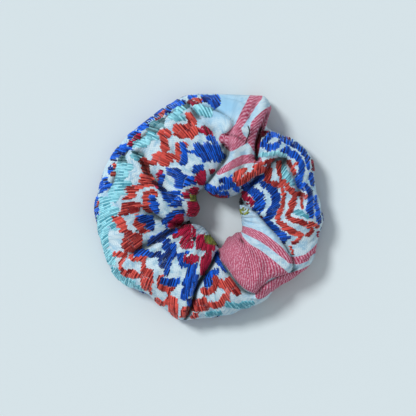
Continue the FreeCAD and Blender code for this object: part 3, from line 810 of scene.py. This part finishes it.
    ("turquoise", -0.9, [(-1.5, -54, 0.9), (3, -52.7, 1.1), (5.5, -53.6, 0.8)]),
    # blue lobe above the hole
    ("blue", 0.1, [(-1.3, 11.3, 1), (0.5, 9, 1.7), (3.2, 8.4, 1.4)]),
    ("blue", -0.1, [(6.3, 7, 1.4), (8.7, 6.4, 1.1)]),
    ("blue", 0.2, [(5, 9.7, 0.7), (8.3, 10.7, 1.4), (9.7, 13.7, 1.6), (11, 15, 1.1)]),
    ("blue", 0.1, [(12, 11.3, 1.2), (14, 8.7, 0.8)]),
    ("blue", -0.6, [(5, 13.3, 0.8), (8, 14.5, 0.8)]),
    ("crimson", -0.5, [(-2, 8, 0.6), (1.5, 6, 0.6), (5, 5.1, 0.7), (8.5, 5.3, 0.5)]),
    # rolled lobe and its hollow
    ("coral", 0.2, [(12.7, 15, 1.8), (14.7, 18, 1.9), (17, 20, 1.7), (19, 21.5, 1.6), (21.3, 23.3, 1.3)]),
    ("coral", -0.1, [(14.7, 12.6, 1.6), (17, 14, 1.8), (19.8, 16, 1.9), (22.5, 17.5, 1.8), (25, 19, 1.7),
        (28, 20, 0.9)]),
    ("coral", 0.1, [(22, 20.5, 1), (25, 21.8, 1), (28, 23.2, 0.9), (32, 24.5, 0.6)]),
    # painted shade: coral in the hollow below the ridge is darkened
    ("coral", -0.7, [(29.7, 22.3, 0.9), (29.5, 18, 1.9), (28.5, 14, 1.8), (28, 12, 1.1)]),
    ("coral", -0.7, [(34.7, 23, 1.2), (34.7, 19, 1), (35.5, 15.5, 0.8)]),
    ("coral", -0.6, [(30.7, 12, 1.6), (33, 12.5, 1.6), (35.3, 11.5, 1.5)]),
    ("coral", -0.1, [(35.7, 14.5, 0.9), (38, 12.5, 1.1), (39.5, 9.7, 1.8), (42.5, 7.5, 1.5),
        (45.5, 7, 1.2), (48.5, 5.5, 1)]),
    ("coral", -0.1, [(36.3, 10, 0.8), (37.3, 6, 0.9), (36.5, 2, 0.9), (35.5, -2, 1.3), (34, -4.7, 1.2),
        (35.5, -7.5, 1.3), (38, -10, 1.8), (41.5, -12, 1.6), (44.5, -13, 1.5), (46.5, -13.2, 0.8)]),
    ("coral", -0.2, [(42.7, 5.5, 1.2), (41.5, 2, 2.1), (40.5, -1, 1.6), (38.7, -3.5, 1),
        (40.5, -5.5, 1.2), (44, -6.5, 1.5), (48, -8, 1.4), (50.5, -9.5, 0.9)]),
    ("coral", -0.3, [(46, 4.5, 0.7), (47, 0, 0.8)]),
    ("coral", 0.1, [(39.7, 23.5, 0.8), (41.5, 20.5, 0.8), (42.7, 17.5, 0.8)]),
    ("coral", 0.0, [(41.7, 21, 0.7), (44, 22.5, 0.7)]),
    ("coral", 0.3, [(26.7, 27.2, 0.8), (29, 28.2, 0.6)]),
    ("coral", -0.3, [(51, -7.5, 1), (54.7, -9.5, 1)]),
    ("coral", -0.4, [(51, -10, 0.8), (51.5, -12, 1), (49.3, -13.7, 1)]),
    ("crimson", -0.3, [(55, -12, 0.6), (54.3, -14.5, 0.5)]),
    ("coral", 0.1, [(45.3, -14.5, 1), (44, -16.3, 1), (41.5, -17.8, 0.8)]),
    ("crimson", -0.1, [(17.3, 7.5, 1.3), (18, 5, 1.3), (20.5, 4, 1.4), (22.5, 1.5, 1)]),
    ("crimson", -0.2, [(16.7, 1.7, 0.9), (19, 1.3, 1.2), (21, -0.5, 1.4)]),
    ("blue", -0.3, [(17, 10.4, 1.3), (21, 8.8, 1.9), (24.2, 6.6, 2.4), (25.3, 3.8, 2.5), (25, 1.2, 2.4),
        (24, -1, 2.3), (22.7, -3, 1.6)]),
    ("blue", -0.6, [(17, 10.8, 1), (20, 12, 1.5), (23.5, 14.3, 1.7), (27, 16, 1)]),
    ("blue", -0.4, [(26, 12.2, 1), (29.8, 10.6, 1.8), (32.6, 8, 2.2), (33.2, 5, 2.2), (32.9, 2, 2.3),
        (31.4, -1.5, 2.3), (29.6, -4.2, 1.9), (28, -6.5, 1.4)]),
    ("blue", -0.3, [(30, -8, 1.7), (32, -10, 1.9), (34.5, -12.3, 2.1), (37, -15, 1.9), (36, -18.3, 1.3)]),
    ("blue", -0.2, [(37.5, -15, 1), (40, -14.6, 0.8)]),
    ("blue", -0.1, [(26, 31.5, 1.6), (28.5, 34.5, 1.3), (30.5, 37, 1.4), (34, 36.5, 1.3), (37, 34.7, 1.5),
        (41, 32.7, 1.8), (44.5, 31, 1.5), (47.5, 28, 1.5), (49.3, 25, 1.3), (49.3, 20, 0.9)]),
    ("blue", 0.2, [(29.5, 30.3, 2), (33, 31, 1.9), (35, 33, 1.1)]),
    ("blue", 0.0, [(36, 27.7, 1.2), (38.5, 30.3, 1), (40, 27.8, 1.8), (43.5, 26, 1.8), (46, 23, 1.4),
        (46, 18.5, 1.6), (44.5, 15, 1.5), (44.5, 12, 1.3), (47.5, 10.5, 1.9), (50.5, 8, 1.5),
        (51, 4, 1.5), (50.5, 0, 1.8), (51, -4, 1.3)]),
    ("blue", 0.0, [(51, 16.5, 1.3), (51.7, 12.5, 1.3)]),
    ("blue", 0.1, [(53.5, 6, 0.8), (54, 1, 1), (54.3, -3.5, 1.6), (55.5, -7, 1.2)]),
    ("crimson", -0.4, [(26, 36.5, 1.2), (28.7, 38.9, 0.7)]),
    ("crimson", -0.3, [(39.5, 35.4, 0.7), (40.7, 35, 0.5)]),
    ("crimson", -0.4, [(51.7, 24, 0.5), (52.3, 19.5, 0.6)]),
    ("turquoise", -0.2, [(37, 20.5, 1.2), (38, 17, 2.1), (40, 14.3, 1.5), (41.7, 11.7, 0.8)]),
    ("turquoise", 0.4, [(23.3, 25.6, 0.6), (26, 26.5, 0.8), (29.5, 27.1, 0.9), (34, 27.2, 0.9),
        (38, 26.2, 0.6)]),
    # painted shade: crimson darkened in the shaded valley right of the neck
    ("crimson", -0.9, [(25, 37, 0.8), (24.2, 33, 1.2), (23.9, 29, 1.1), (23.8, 27, 0.7)]),
    ("turquoise", -0.5, [(43, -2, 1.2), (46, -2.5, 1.7), (49, -5, 0.9)]),
    ("coral", 0.0, [(40.3, -19.3, 0.5), (42, -23.7, 0.4)]),
    ("crimson", -0.2, [(25.7, -4.3, 0.4), (26.3, -6, 0.4)]),
    ("green", 0.4, [(15.4, -1.2, 0.4), (15.8, -2.6, 0.4), (17.3, -3.2, 0.4), (18.9, -2.4, 0.4),
        (19.2, -1, 0.4)]),
    ("green", 0.3, [(17, -0.7, 0.8), (17.8, -0.9, 0.6)]),
    # small black knots, black stitches at the left hole notch, a black line along the leaf's edge and a black
    # mark at the right hole notch
    ("black", 0.0, [(-8.3, -15.3, 0.6), (-7.7, -16.2, 0.6)]),
    ("black", 0.0, [(-37.3, -11.1, 0.3), (-36, -11, 0.4)]),
    ("black", 0.0, [(-11.2, -7, 0.4), (-9.6, -7.8, 0.5)]),
    # partly thin black thread, partly painted shadow of the fold beside the leaf
    ("black", 0.0, [(0.6, -13.3, 0.3), (2.8, -16, 0.35), (4.3, -19, 0.35)]),
    # painted shadow: black stitches where the deep notch at the hole's right lies in shade
    ("black", 0.0, [(15.6, 4.5, 0.5), (15.9, 2.2, 0.6)]),
]

# rows on the outer wall and underneath; share 0 is the hole side, 1 the outside
# sizes in mm, period in degrees
underRows = [
    {"colour": "blue", "share": 0.90, "half": 2.0, "swing": 2.2, "period": 18},
    {"colour": "coral", "share": 0.66, "half": 2.3, "swing": 2.6, "period": 18},
    {"colour": "blue", "share": 0.42, "half": 2.1, "swing": 2.4, "period": 18},
    {"colour": "crimson", "share": 0.16, "half": 1.8, "swing": 1.6, "period": 18},
]


tubeWidth = 40.0  # usual width of the tube, mm
farAway = 999  # keeps spots under the tube out of every motif on top


def paintMotifs(x, y, colour, toneAndPaintedLight, names):
    for name, toneAndLightShift, lumps in motifs:
        lumps = np.array(lumps)
        low = (lumps[:, :2] - lumps[:, 2:]).min(axis=0)
        high = (lumps[:, :2] + lumps[:, 2:]).max(axis=0)
        near = np.nonzero((x > low[0]) & (x < high[0]) & (y > low[1]) & (y < high[1]))
        grow = stitchLook["growLobe"] if lumps[0, 0] > stitchLook["lobeFrom"] else stitchLook["grow"]
        inside = lumpDistance(lumps, x[near], y[near]) > -grow
        picked = tuple(axis[inside] for axis in near)
        colour[picked] = names.index(name)
        toneAndPaintedLight[picked] = toneAndLightShift


wallRow = {"colour": "blue", "height": 4.6, "half": 1.5, "swing": 1.2, "period": 15, "from": 0.93}


def paintWall(x, y, height, share, colour, names):
    ring = np.degrees(np.arctan2(y - holeCentre[1], x - holeCentre[0]))
    wave = np.abs((ring / wallRow["period"]) % 1 * 4 - 2) - 1
    near = np.abs(height - wallRow["height"] - wallRow["swing"] * wave) < wallRow["half"]
    colour[near & (share > wallRow["from"]) & (colour < 0)] = names.index(wallRow["colour"])


def paintUnder(x, y, share, width, colour, names):
    ring = np.degrees(np.arctan2(y - holeCentre[1], x - holeCentre[0]))
    for spec in underRows:
        wave = np.abs((ring / spec["period"]) % 1 * 4 - 2) - 1
        lump = 0.65 + 0.6 * np.abs(np.cos(np.radians(ring) * 360 / spec["period"] / 2))
        off = (share - spec["share"]) * width - spec["swing"] * wave
        colour[np.abs(off) < spec["half"] * lump] = names.index(spec["colour"])


def averageLines(values, reach):
    # average over the neighbouring lines of stitches
    return sum(np.roll(values, k, axis=0) for k in range(-reach, reach + 1)) / (2 * reach + 1)


def layStitches(surface, names, dice):
    # lines of stitches lean round the tube; wherever a line crosses a motif it becomes stitches
    columns, rows = surface.points.shape[:2]
    look = stitchLook
    start = casingLook["topSteps"] + casingLook["underSteps"] // 2
    row = start - rows + np.arange(rows * look["finer"]) / look["finer"]
    reach = np.hypot(surface.points[..., 0] - holeCentre[0], surface.points[..., 1] - holeCentre[1])
    steps = np.linalg.norm(np.roll(surface.points, -1, axis=1) - surface.points, axis=2)
    turnPerRow = (steps / np.maximum(reach, 10)).mean(axis=0)[np.floor(row).astype(int) % rows]
    lean = np.cumsum(turnPerRow) / look["finer"] * look["slant"] * columns / (2 * np.pi)
    line = np.arange(look["lines"])
    columnAt = line[:, None] * columns / look["lines"] + lean[None, :] - lean[len(lean) // 2]
    rowAt = np.broadcast_to(row[None, :], columnAt.shape)
    spots = surface.at(surface.points, columnAt, rowAt)
    normals = surface.at(surface.normals, columnAt, rowAt)
    share = surface.at(surface.values["share"], columnAt, rowAt)
    plain = surface.at(surface.values["plain"], columnAt, rowAt)

    along = np.gradient(spots, axis=1)
    length = np.linalg.norm(along, axis=2)
    run = np.cumsum(length, axis=1)
    planWay = along[..., :2] / np.maximum(length, 1e-6)[..., None]
    jagRows = look["jagRows"]
    jagPairs = dice.uniform(-look["jag"], look["jag"], (look["lines"] // 2 + 1, len(row) // jagRows + 1))
    jag = np.repeat(np.repeat(jagPairs, 2, axis=0), jagRows, axis=1)[:look["lines"], :len(row)]
    jag = jag + dice.uniform(-look["jag"], look["jag"], (look["lines"], 1)) * look["jagLine"]
    x, y = [(spots[..., k] + planWay[..., k] * jag) * look["spread"] for k in (0, 1)]

    colour = np.full(columnAt.shape, -1)
    toneAndPaintedLight = np.zeros(columnAt.shape)
    onTop = (rowAt >= -2) & (rowAt <= casingLook["topSteps"] + 2)
    paintMotifs(np.where(onTop, x, farAway), y, colour, toneAndPaintedLight, names)
    underColour = np.full(columnAt.shape, -1)
    paintUnder(x, y, share + jag / tubeWidth, tubeWidth, underColour, names)
    colour = np.where(onTop, colour, underColour)
    paintWall(x, y, spots[..., 2] + jag, share, colour, names)
    overPlain = [names.index(name) for name in stitchLook["overPlain"]]
    colour[(plain > -0.2) & ~np.isin(colour, overPlain)] = -1

    gap = np.linalg.norm(np.roll(spots, -1, axis=0) - np.roll(spots, 1, axis=0), axis=2) / 2
    local = averageLines(gap, look["nearLines"])
    gap = averageLines(gap, look["strideLines"])
    stride = np.where(gap < look["closest"] / 2, 4, np.where(gap < look["closest"], 2, 1))
    colour[line[:, None] % stride != 0] = -1

    change = np.ones(colour.shape, bool)
    change[:, 1:] = (colour[:, 1:] != colour[:, :-1]) | (stride[:, 1:] != stride[:, :-1])
    flatStart = np.flatnonzero(change)
    flatEnd = np.append(flatStart[1:], colour.size) - 1
    lines, first, last = flatStart // len(row), flatStart % len(row), flatEnd % len(row)
    kept = (colour.ravel()[flatStart] >= 0) & (run[lines, last] - run[lines, first] > look["shortest"])
    hollow = surface.at(surface.values["hollow"], columnAt, rowAt)
    grids = {"spots": spots, "normals": normals, "run": run, "colour": colour, "toneAndPaintedLight": toneAndPaintedLight, "hollow": hollow,
             "stride": stride, "spacing": local * stride * np.where(stride > 1, look["widenPairs"], 1)}
    return grids, lines[kept], first[kept], last[kept]


def makeEmbroidery(surface):
    look = stitchLook
    names = list(flossColours)
    dice = np.random.default_rng(11)
    grids, lines, first, last = layStitches(surface, names, dice)
    spots, normals, run = grids["spots"], grids["normals"], grids["run"]
    pieces = []
    for line, start, end in zip(lines, first, last):
        size = run[line, end] - run[line, start]
        parts = int(math.ceil(size / look["longest"]))
        cuts = np.linspace(start, end, parts + 1)
        cuts[1:-1] += dice.uniform(-3, 3, parts - 1)
        for k in range(parts):
            ends = cuts[k] - look["overlap"], cuts[k + 1] + look["overlap"]
            pieces.append((line, *ends, (start + end) // 2))
    pieces = np.array(pieces)
    line = pieces[:, 0].astype(int)
    middle = pieces[:, 3].astype(int)
    part = np.array(look["along"])
    place = pieces[:, 1:2] + (pieces[:, 2:3] - pieces[:, 1:2]) * part[None, :]
    place = np.clip(place, 0, spots.shape[1] - 1.001)
    low = np.floor(place).astype(int)
    mix = (place - low)[..., None]
    centres = spots[line[:, None], low] * (1 - mix) + spots[line[:, None], low + 1] * mix
    ups = normals[line[:, None], low] * (1 - mix) + normals[line[:, None], low + 1] * mix
    ups /= np.linalg.norm(ups, axis=2, keepdims=True)
    aside = np.cross(np.gradient(centres, axis=1), ups)
    aside /= np.maximum(np.linalg.norm(aside, axis=2, keepdims=True), 1e-6)
    full = np.array(look["fullness"])
    lift = ((look["height"] + look["sink"]) * full - look["sink"])[None, :, None]
    width = grids["spacing"][line, middle] * look["widen"]
    half = (width / 2)[:, None, None] * (0.6 + 0.4 * full)[None, :, None]
    crown = half * look["crown"]
    down = ups * look["sink"]
    corners = np.stack([centres - aside * half - down, centres - aside * crown + ups * lift,
                        centres + aside * crown + ups * lift, centres + aside * half - down], axis=2)
    everyOther = line // np.maximum(grids["stride"][line, middle], 1) % 2
    step = np.where(everyOther, look["toneStep"], -look["toneStep"])
    # stitch tone: the motif's shift (partly painted light and shade), a step between neighbouring lines and a
    # random spread
    tonesWithPaintedLight = 0.5 + 0.5 * grids["toneAndPaintedLight"][line, middle] + step
    tonesWithPaintedLight = np.clip(tonesWithPaintedLight + dice.normal(0, look["toneSpread"], len(line)), 0, 1)
    colourAt, hollowAt = grids["colour"][line, middle], grids["hollow"][line, middle]

    rings, sides = len(part), 4
    quad = []
    for k in range(rings - 1):
        for side in range(sides):
            a, b = k * sides + side, k * sides + (side + 1) % sides
            quad.append((a, a + sides, b + sides, b))
    quad = np.array(quad)
    for number, name in enumerate(names):
        mine = np.flatnonzero(colourAt == number)
        points = corners[mine].reshape(-1, 3)
        faces = (np.arange(len(mine))[:, None, None] * rings * sides + quad[None]).reshape(-1, 4)
        piece = addMesh(name + "_floss", points * mm, faces, flossMaterial(name))
        addValues(piece, "toneAndPaintedLight", np.repeat(tonesWithPaintedLight[mine], rings * sides))
        addValues(piece, "hollow", np.repeat(hollowAt[mine], rings * sides))
        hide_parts(name + "_floss_left", name + "_floss_right")
        blendAcross(piece)
        print(name, "stitches", len(mine))


# threads and the elastic lie inside the tube or on it
def sweepTube(path, radius, sides=6, ends=0.5):
    # a thread along a path of points in mm, rounded off at both ends
    path = np.array(path, float)
    along = np.gradient(path, axis=0)
    along /= np.linalg.norm(along, axis=1, keepdims=True)
    side = np.cross(along, (0.0, 0.0, 1.0))
    side /= np.maximum(np.linalg.norm(side, axis=1, keepdims=True), 1e-6)
    up = np.cross(side, along)
    thick = np.ones(len(path)) * radius
    thick[[0, -1]] *= ends
    turn = 2 * np.pi * np.arange(sides) / sides
    points = (path[:, None, :] + thick[:, None, None] * (np.cos(turn)[None, :, None] * side[:, None, :]
                                                         + np.sin(turn)[None, :, None] * up[:, None, :]))
    faces = []
    for k in range(len(path) - 1):
        for m in range(sides):
            a, b = k * sides + m, k * sides + (m + 1) % sides
            faces.append((a, b, b + sides, a + sides))
    last = (len(path) - 1) * sides
    for m in range(1, sides - 2, 2):
        faces.append((0, m + 2, m + 1, m))
        faces.append((last, last + m, last + m + 1, last + m + 2))
    return points.reshape(-1, 3), np.array(faces)


def joinParts(parts):
    points, faces, count = [], [], 0
    for somePoints, someFaces in parts:
        points.append(somePoints)
        faces.append(someFaces + count)
        count += len(somePoints)
    return np.vstack(points), np.vstack(faces)


threadLook = {"fuzzSize": 2500, "twistBend": 1.5, "roughness": 0.75, "sheen": 0, "specular": 0.2,
              "bump": 0.5, "bumpDepth": 0.0001}


def threadMaterial(name, dark, light, twists):
    # spun thread: slanting plies with loose fibre
    material, nodes, links, shader = newMaterial(name)
    place = nodes.new("ShaderNodeTexCoord")
    ply = waveNode(nodes, links, place.outputs["Object"], "DIAGONAL", twists, threadLook["twistBend"])
    fuzz = noiseNode(nodes, links, place.outputs["Object"], threadLook["fuzzSize"])
    mix = mathNode(nodes, links, "MULTIPLY_ADD", fuzz, 0.5, mathNode(nodes, links, "MULTIPLY", ply, 0.5))
    finishShader(nodes, links, shader, mixColour(nodes, links, mix, dark, light), ply, threadLook)
    return material


# angles in degrees, sizes in mm; the lap is where the braid crosses its own start
elasticLook = {"radius": 27.0, "thickness": 1.2, "low": 9.0, "high": 15.0, "cords": 8, "cordDepth": 0.14,
               "braidPitch": 1.1, "braidDepth": 0.07, "lapFrom": 42, "lapTo": 68, "steps": 520, "across": 28,
               "rubberSize": 1200, "weaveSize": 420, "weaveBend": 2, "dark": (0.62, 0.60, 0.54),
               "light": (0.90, 0.89, 0.86), "gap": (0.50, 0.48, 0.43), "roughness": 0.7, "sheen": 0,
               "specular": 0.2, "bump": 0.4, "bumpDepth": 0.0001}


def elasticMaterial():
    look = elasticLook
    material, nodes, links, shader = newMaterial("braided elastic")
    place = nodes.new("ShaderNodeTexCoord")
    rubber = noiseNode(nodes, links, place.outputs["Object"], look["rubberSize"], 3)
    weave = waveNode(nodes, links, place.outputs["Object"], "Z", look["weaveSize"], look["weaveBend"])
    tint = mixColour(nodes, links, rubber, look["dark"], look["light"])
    tint = mixColour(nodes, links, mathNode(nodes, links, "MULTIPLY", weave, 0.35), tint, look["gap"])
    finishShader(nodes, links, shader, tint, weave, look)
    return material


def onRing(angle, reach, height):
    return np.array([holeCentre[0] + reach * math.cos(angle), holeCentre[1] + reach * math.sin(angle),
                     height])


def makeElastic():
    # one flat braid goes round and laps over its own start
    look = elasticLook
    turns = np.radians(np.linspace(look["lapFrom"], look["lapTo"] + 360, look["steps"]))
    climb = ease(math.radians(look["lapFrom"] + 348), math.radians(look["lapFrom"] + 359), turns)
    middle = look["radius"] + climb * look["thickness"] * 1.02
    height = np.linspace(look["low"], look["high"], look["across"])
    cord = np.cos(np.linspace(0, 2 * np.pi * look["cords"], look["across"]))
    run = turns * look["radius"] * 2 * np.pi / look["braidPitch"]
    braid = np.sin(run[:, None] + np.linspace(0, np.pi * look["cords"], look["across"])[None, :])
    grow = look["thickness"] / 2 - look["cordDepth"] * (1 + cord[None, :]) / 2 + look["braidDepth"] * braid
    edge = 1 - 0.5 * np.abs(np.linspace(-1, 1, look["across"])) ** 8
    grow = grow * edge[None, :]
    faces = []
    rings = []
    for way in (1, -1):
        reach = middle[:, None] + way * grow
        order = slice(None) if way == 1 else slice(None, None, -1)
        rings.append(np.stack([holeCentre[0] + reach * np.cos(turns)[:, None],
                               holeCentre[1] + reach * np.sin(turns)[:, None],
                               np.broadcast_to(height[None, :], reach.shape)], axis=-1)[:, order])
    points = np.concatenate(rings, axis=1)
    count = points.shape[1]
    for i in range(look["steps"] - 1):
        for j in range(count):
            a, b = i * count + j, i * count + (j + 1) % count
            faces.append((a, a + count, b + count, b))
    for start, turned in ((0, False), ((look["steps"] - 1) * count, True)):
        for j in range(look["across"] - 1):
            cap = (start + j, start + j + 1, start + count - 2 - j, start + count - 1 - j)
            faces.append(cap[::-1] if turned else cap)
    band = addMesh("elastic_band", points.reshape(-1, 3) * mm, np.array(faces), elasticMaterial())
    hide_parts("elastic_left", "elastic_right")
    blendAcross(band)
    print("elastic made")
    return band


seamLook = {"count": 44, "stitch": 0.62, "inset": 2.4, "height": 9.5, "radius": 0.2}
joinLook = {"count": 12, "from": 44, "to": 66, "radius": 0.2, "rise": 2.2, "reach": 28.9,
            "bow": 0.15}
closingLook = {"count": 9, "radius": 0.13, "cross": 0.5, "from": 0.25, "to": 0.97}
tailLook = {"radius": 0.28, "path": [(18.6, 40.4), (19.2, 38.8), (19.3, 37), (18.6, 34.8), (17.4, 32.2)]}


nearSpots = 6  # cloth points looked at to find the top of the cloth under a thread


def topSpot(surface, x, y, lift):
    # place on the upper side of the cloth over a plan position
    points = surface.points[:, :casingLook["topSteps"] + 1].reshape(-1, 3)
    near = np.argsort((points[:, 0] - x) ** 2 + (points[:, 1] - y) ** 2)[:nearSpots]
    return np.array([x, y, points[near, 2].max() + lift])


def finishThread(name, parts, material, replaced):
    points, faces = joinParts(parts)
    piece = addMesh(name, points * mm, faces, material)
    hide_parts(*replaced)
    blendAcross(piece)
    return piece


def makeThreads(surface):
    # running stitches of the long seam, inside on the hole side
    parts = []
    rim = rimDistance(casingLook["holeRim"], np.radians(np.arange(-180, 181)))
    for k in range(seamLook["count"]):
        angles = -math.pi + 2 * math.pi * (k + np.linspace(0, seamLook["stitch"], 7)) / seamLook["count"]
        bow = np.sin(np.linspace(0, np.pi, 7)) * 0.3
        reach = np.interp(np.degrees(angles), np.arange(-180, 181), rim, period=360) + seamLook["inset"]
        parts.append(sweepTube([onRing(a, r, seamLook["height"] + b) for a, r, b in zip(angles, reach, bow)],
                               seamLook["radius"]))
    material = threadMaterial("seam thread", (0.55, 0.58, 0.62), (0.88, 0.90, 0.92), 900)
    finishThread("seam_stitches", parts, material, ("seam_thread_left", "seam_thread_right"))

    # zigzag through the lapped ends of the elastic
    parts = []
    corners = np.radians(np.linspace(joinLook["from"], joinLook["to"], joinLook["count"] + 1))
    middle = (elasticLook["low"] + elasticLook["high"]) / 2
    for k in range(joinLook["count"]):
        rise = joinLook["rise"] * (1 if k % 2 else -1)
        path = []
        for t in np.linspace(0, 1, 6):
            angle = corners[k] + (corners[k + 1] - corners[k]) * t
            bow = joinLook["bow"] * math.sin(math.pi * t)
            path.append(onRing(angle, joinLook["reach"] + bow, middle - rise + 2 * rise * t))
        parts.append(sweepTube(path, joinLook["radius"]))
    material = threadMaterial("join thread", (0.60, 0.60, 0.57), (0.92, 0.92, 0.89), 900)
    finishThread("join_stitches", parts, material, ("elastic_join_stitches",))

    # small dark stitches over the closing seam
    dark = threadMaterial("closing thread", (0.006, 0.005, 0.006), (0.05, 0.04, 0.05), 1100)
    parts = []
    seam = smoothPath(foldList["closing seam"]["path"])
    for t in np.linspace(closingLook["from"], closingLook["to"], closingLook["count"]):
        k = int(t * (len(seam) - 2))
        way = (seam[k + 1] - seam[k]) / np.linalg.norm(seam[k + 1] - seam[k])
        side = np.array([-way[1], way[0]])
        path = []
        for u, lift in ((-1, -0.12), (-0.6, 0.05), (0, 0.1), (0.6, 0.05), (1, -0.12)):
            spot = seam[k] + (side + way * 0.5) * u * closingLook["cross"]
            path.append(topSpot(surface, spot[0], spot[1], lift))
        parts.append(sweepTube(path, closingLook["radius"]))
    finishThread("closing_stitches", parts, dark, ("closing_thread",))

    path = smoothPath(tailLook["path"], perSpan=5)
    lifted = [topSpot(surface, x, y, 0.25) for x, y in path]
    lifted[-1][2] -= 0.4
    smooth = np.array(lifted)
    smooth[1:-1, 2] = (smooth[:-2, 2] + smooth[1:-1, 2] + smooth[2:, 2]) / 3 + 0.1
    tail = sweepTube(smooth, tailLook["radius"], sides=8)
    finishThread("thread_tail", [tail], dark, ("closing_thread_tail",))
    print("threads made")


# floor, light and camera; sizes in metres
stageLook = {
    "viewWidth": 0.208,
    "viewHeight": 1.0,
    "viewCentre": (-0.001, 0.0),
    "floorColour": (0.72, 0.81, 0.84),
    "sunPower": 2.0,
    "sunSpread": 14,
    "sunFrom": (-0.52, 0.42, 0.85),
    "skyStrength": 0.47,
    "skyColour": (0.92, 0.95, 0.98),
    "floorHalf": 1.5,
    "filmWidth": 36,
    "aimHeight": 0.012,
}


def floorMaterial():
    material, nodes, links, shader = newMaterial("pale floor")
    shader.inputs["Base Color"].default_value = (*stageLook["floorColour"], 1)
    shader.inputs["Roughness"].default_value = 0.9
    shader.inputs["Specular IOR Level"].default_value = 0.1
    return material


def makeStage():
    floorMesh = bpy.data.meshes.new("floor")
    half = stageLook["floorHalf"]
    corners = [(-half, -half, 0), (half, -half, 0), (half, half, 0), (-half, half, 0)]
    floorMesh.from_pydata(corners, [], [(0, 1, 2, 3)])
    floorMesh.materials.append(floorMaterial())
    floor = bpy.data.objects.new("floor", floorMesh)
    bpy.context.collection.objects.link(floor)

    sun = bpy.data.lights.new("sun", "SUN")
    sun.energy = stageLook["sunPower"]
    sun.angle = math.radians(stageLook["sunSpread"])
    sunObject = bpy.data.objects.new("sun", sun)
    sunObject.rotation_euler = (-Vector(stageLook["sunFrom"])).to_track_quat("-Z", "Y").to_euler()
    bpy.context.collection.objects.link(sunObject)

    world = bpy.data.worlds.new("sky")
    world.use_nodes = True
    sky = world.node_tree.nodes["Background"]
    sky.inputs["Color"].default_value = (*stageLook["skyColour"], 1)
    sky.inputs["Strength"].default_value = stageLook["skyStrength"]
    bpy.context.scene.world = world

    camera = bpy.data.cameras.new("camera")
    camera.sensor_width = stageLook["filmWidth"]
    camera.lens = stageLook["filmWidth"] * stageLook["viewHeight"] / stageLook["viewWidth"]
    cameraObject = bpy.data.objects.new("camera", camera)
    cameraObject.location = (*stageLook["viewCentre"], stageLook["viewHeight"] + stageLook["aimHeight"])
    bpy.context.collection.objects.link(cameraObject)
    bpy.context.scene.camera = cameraObject
    bpy.context.scene.view_settings.view_transform = "Standard"
    print("stage set")


makeStage()
cloth, surface = makeCasing()
makeEmbroidery(surface)
elastic = makeElastic()
makeThreads(surface)
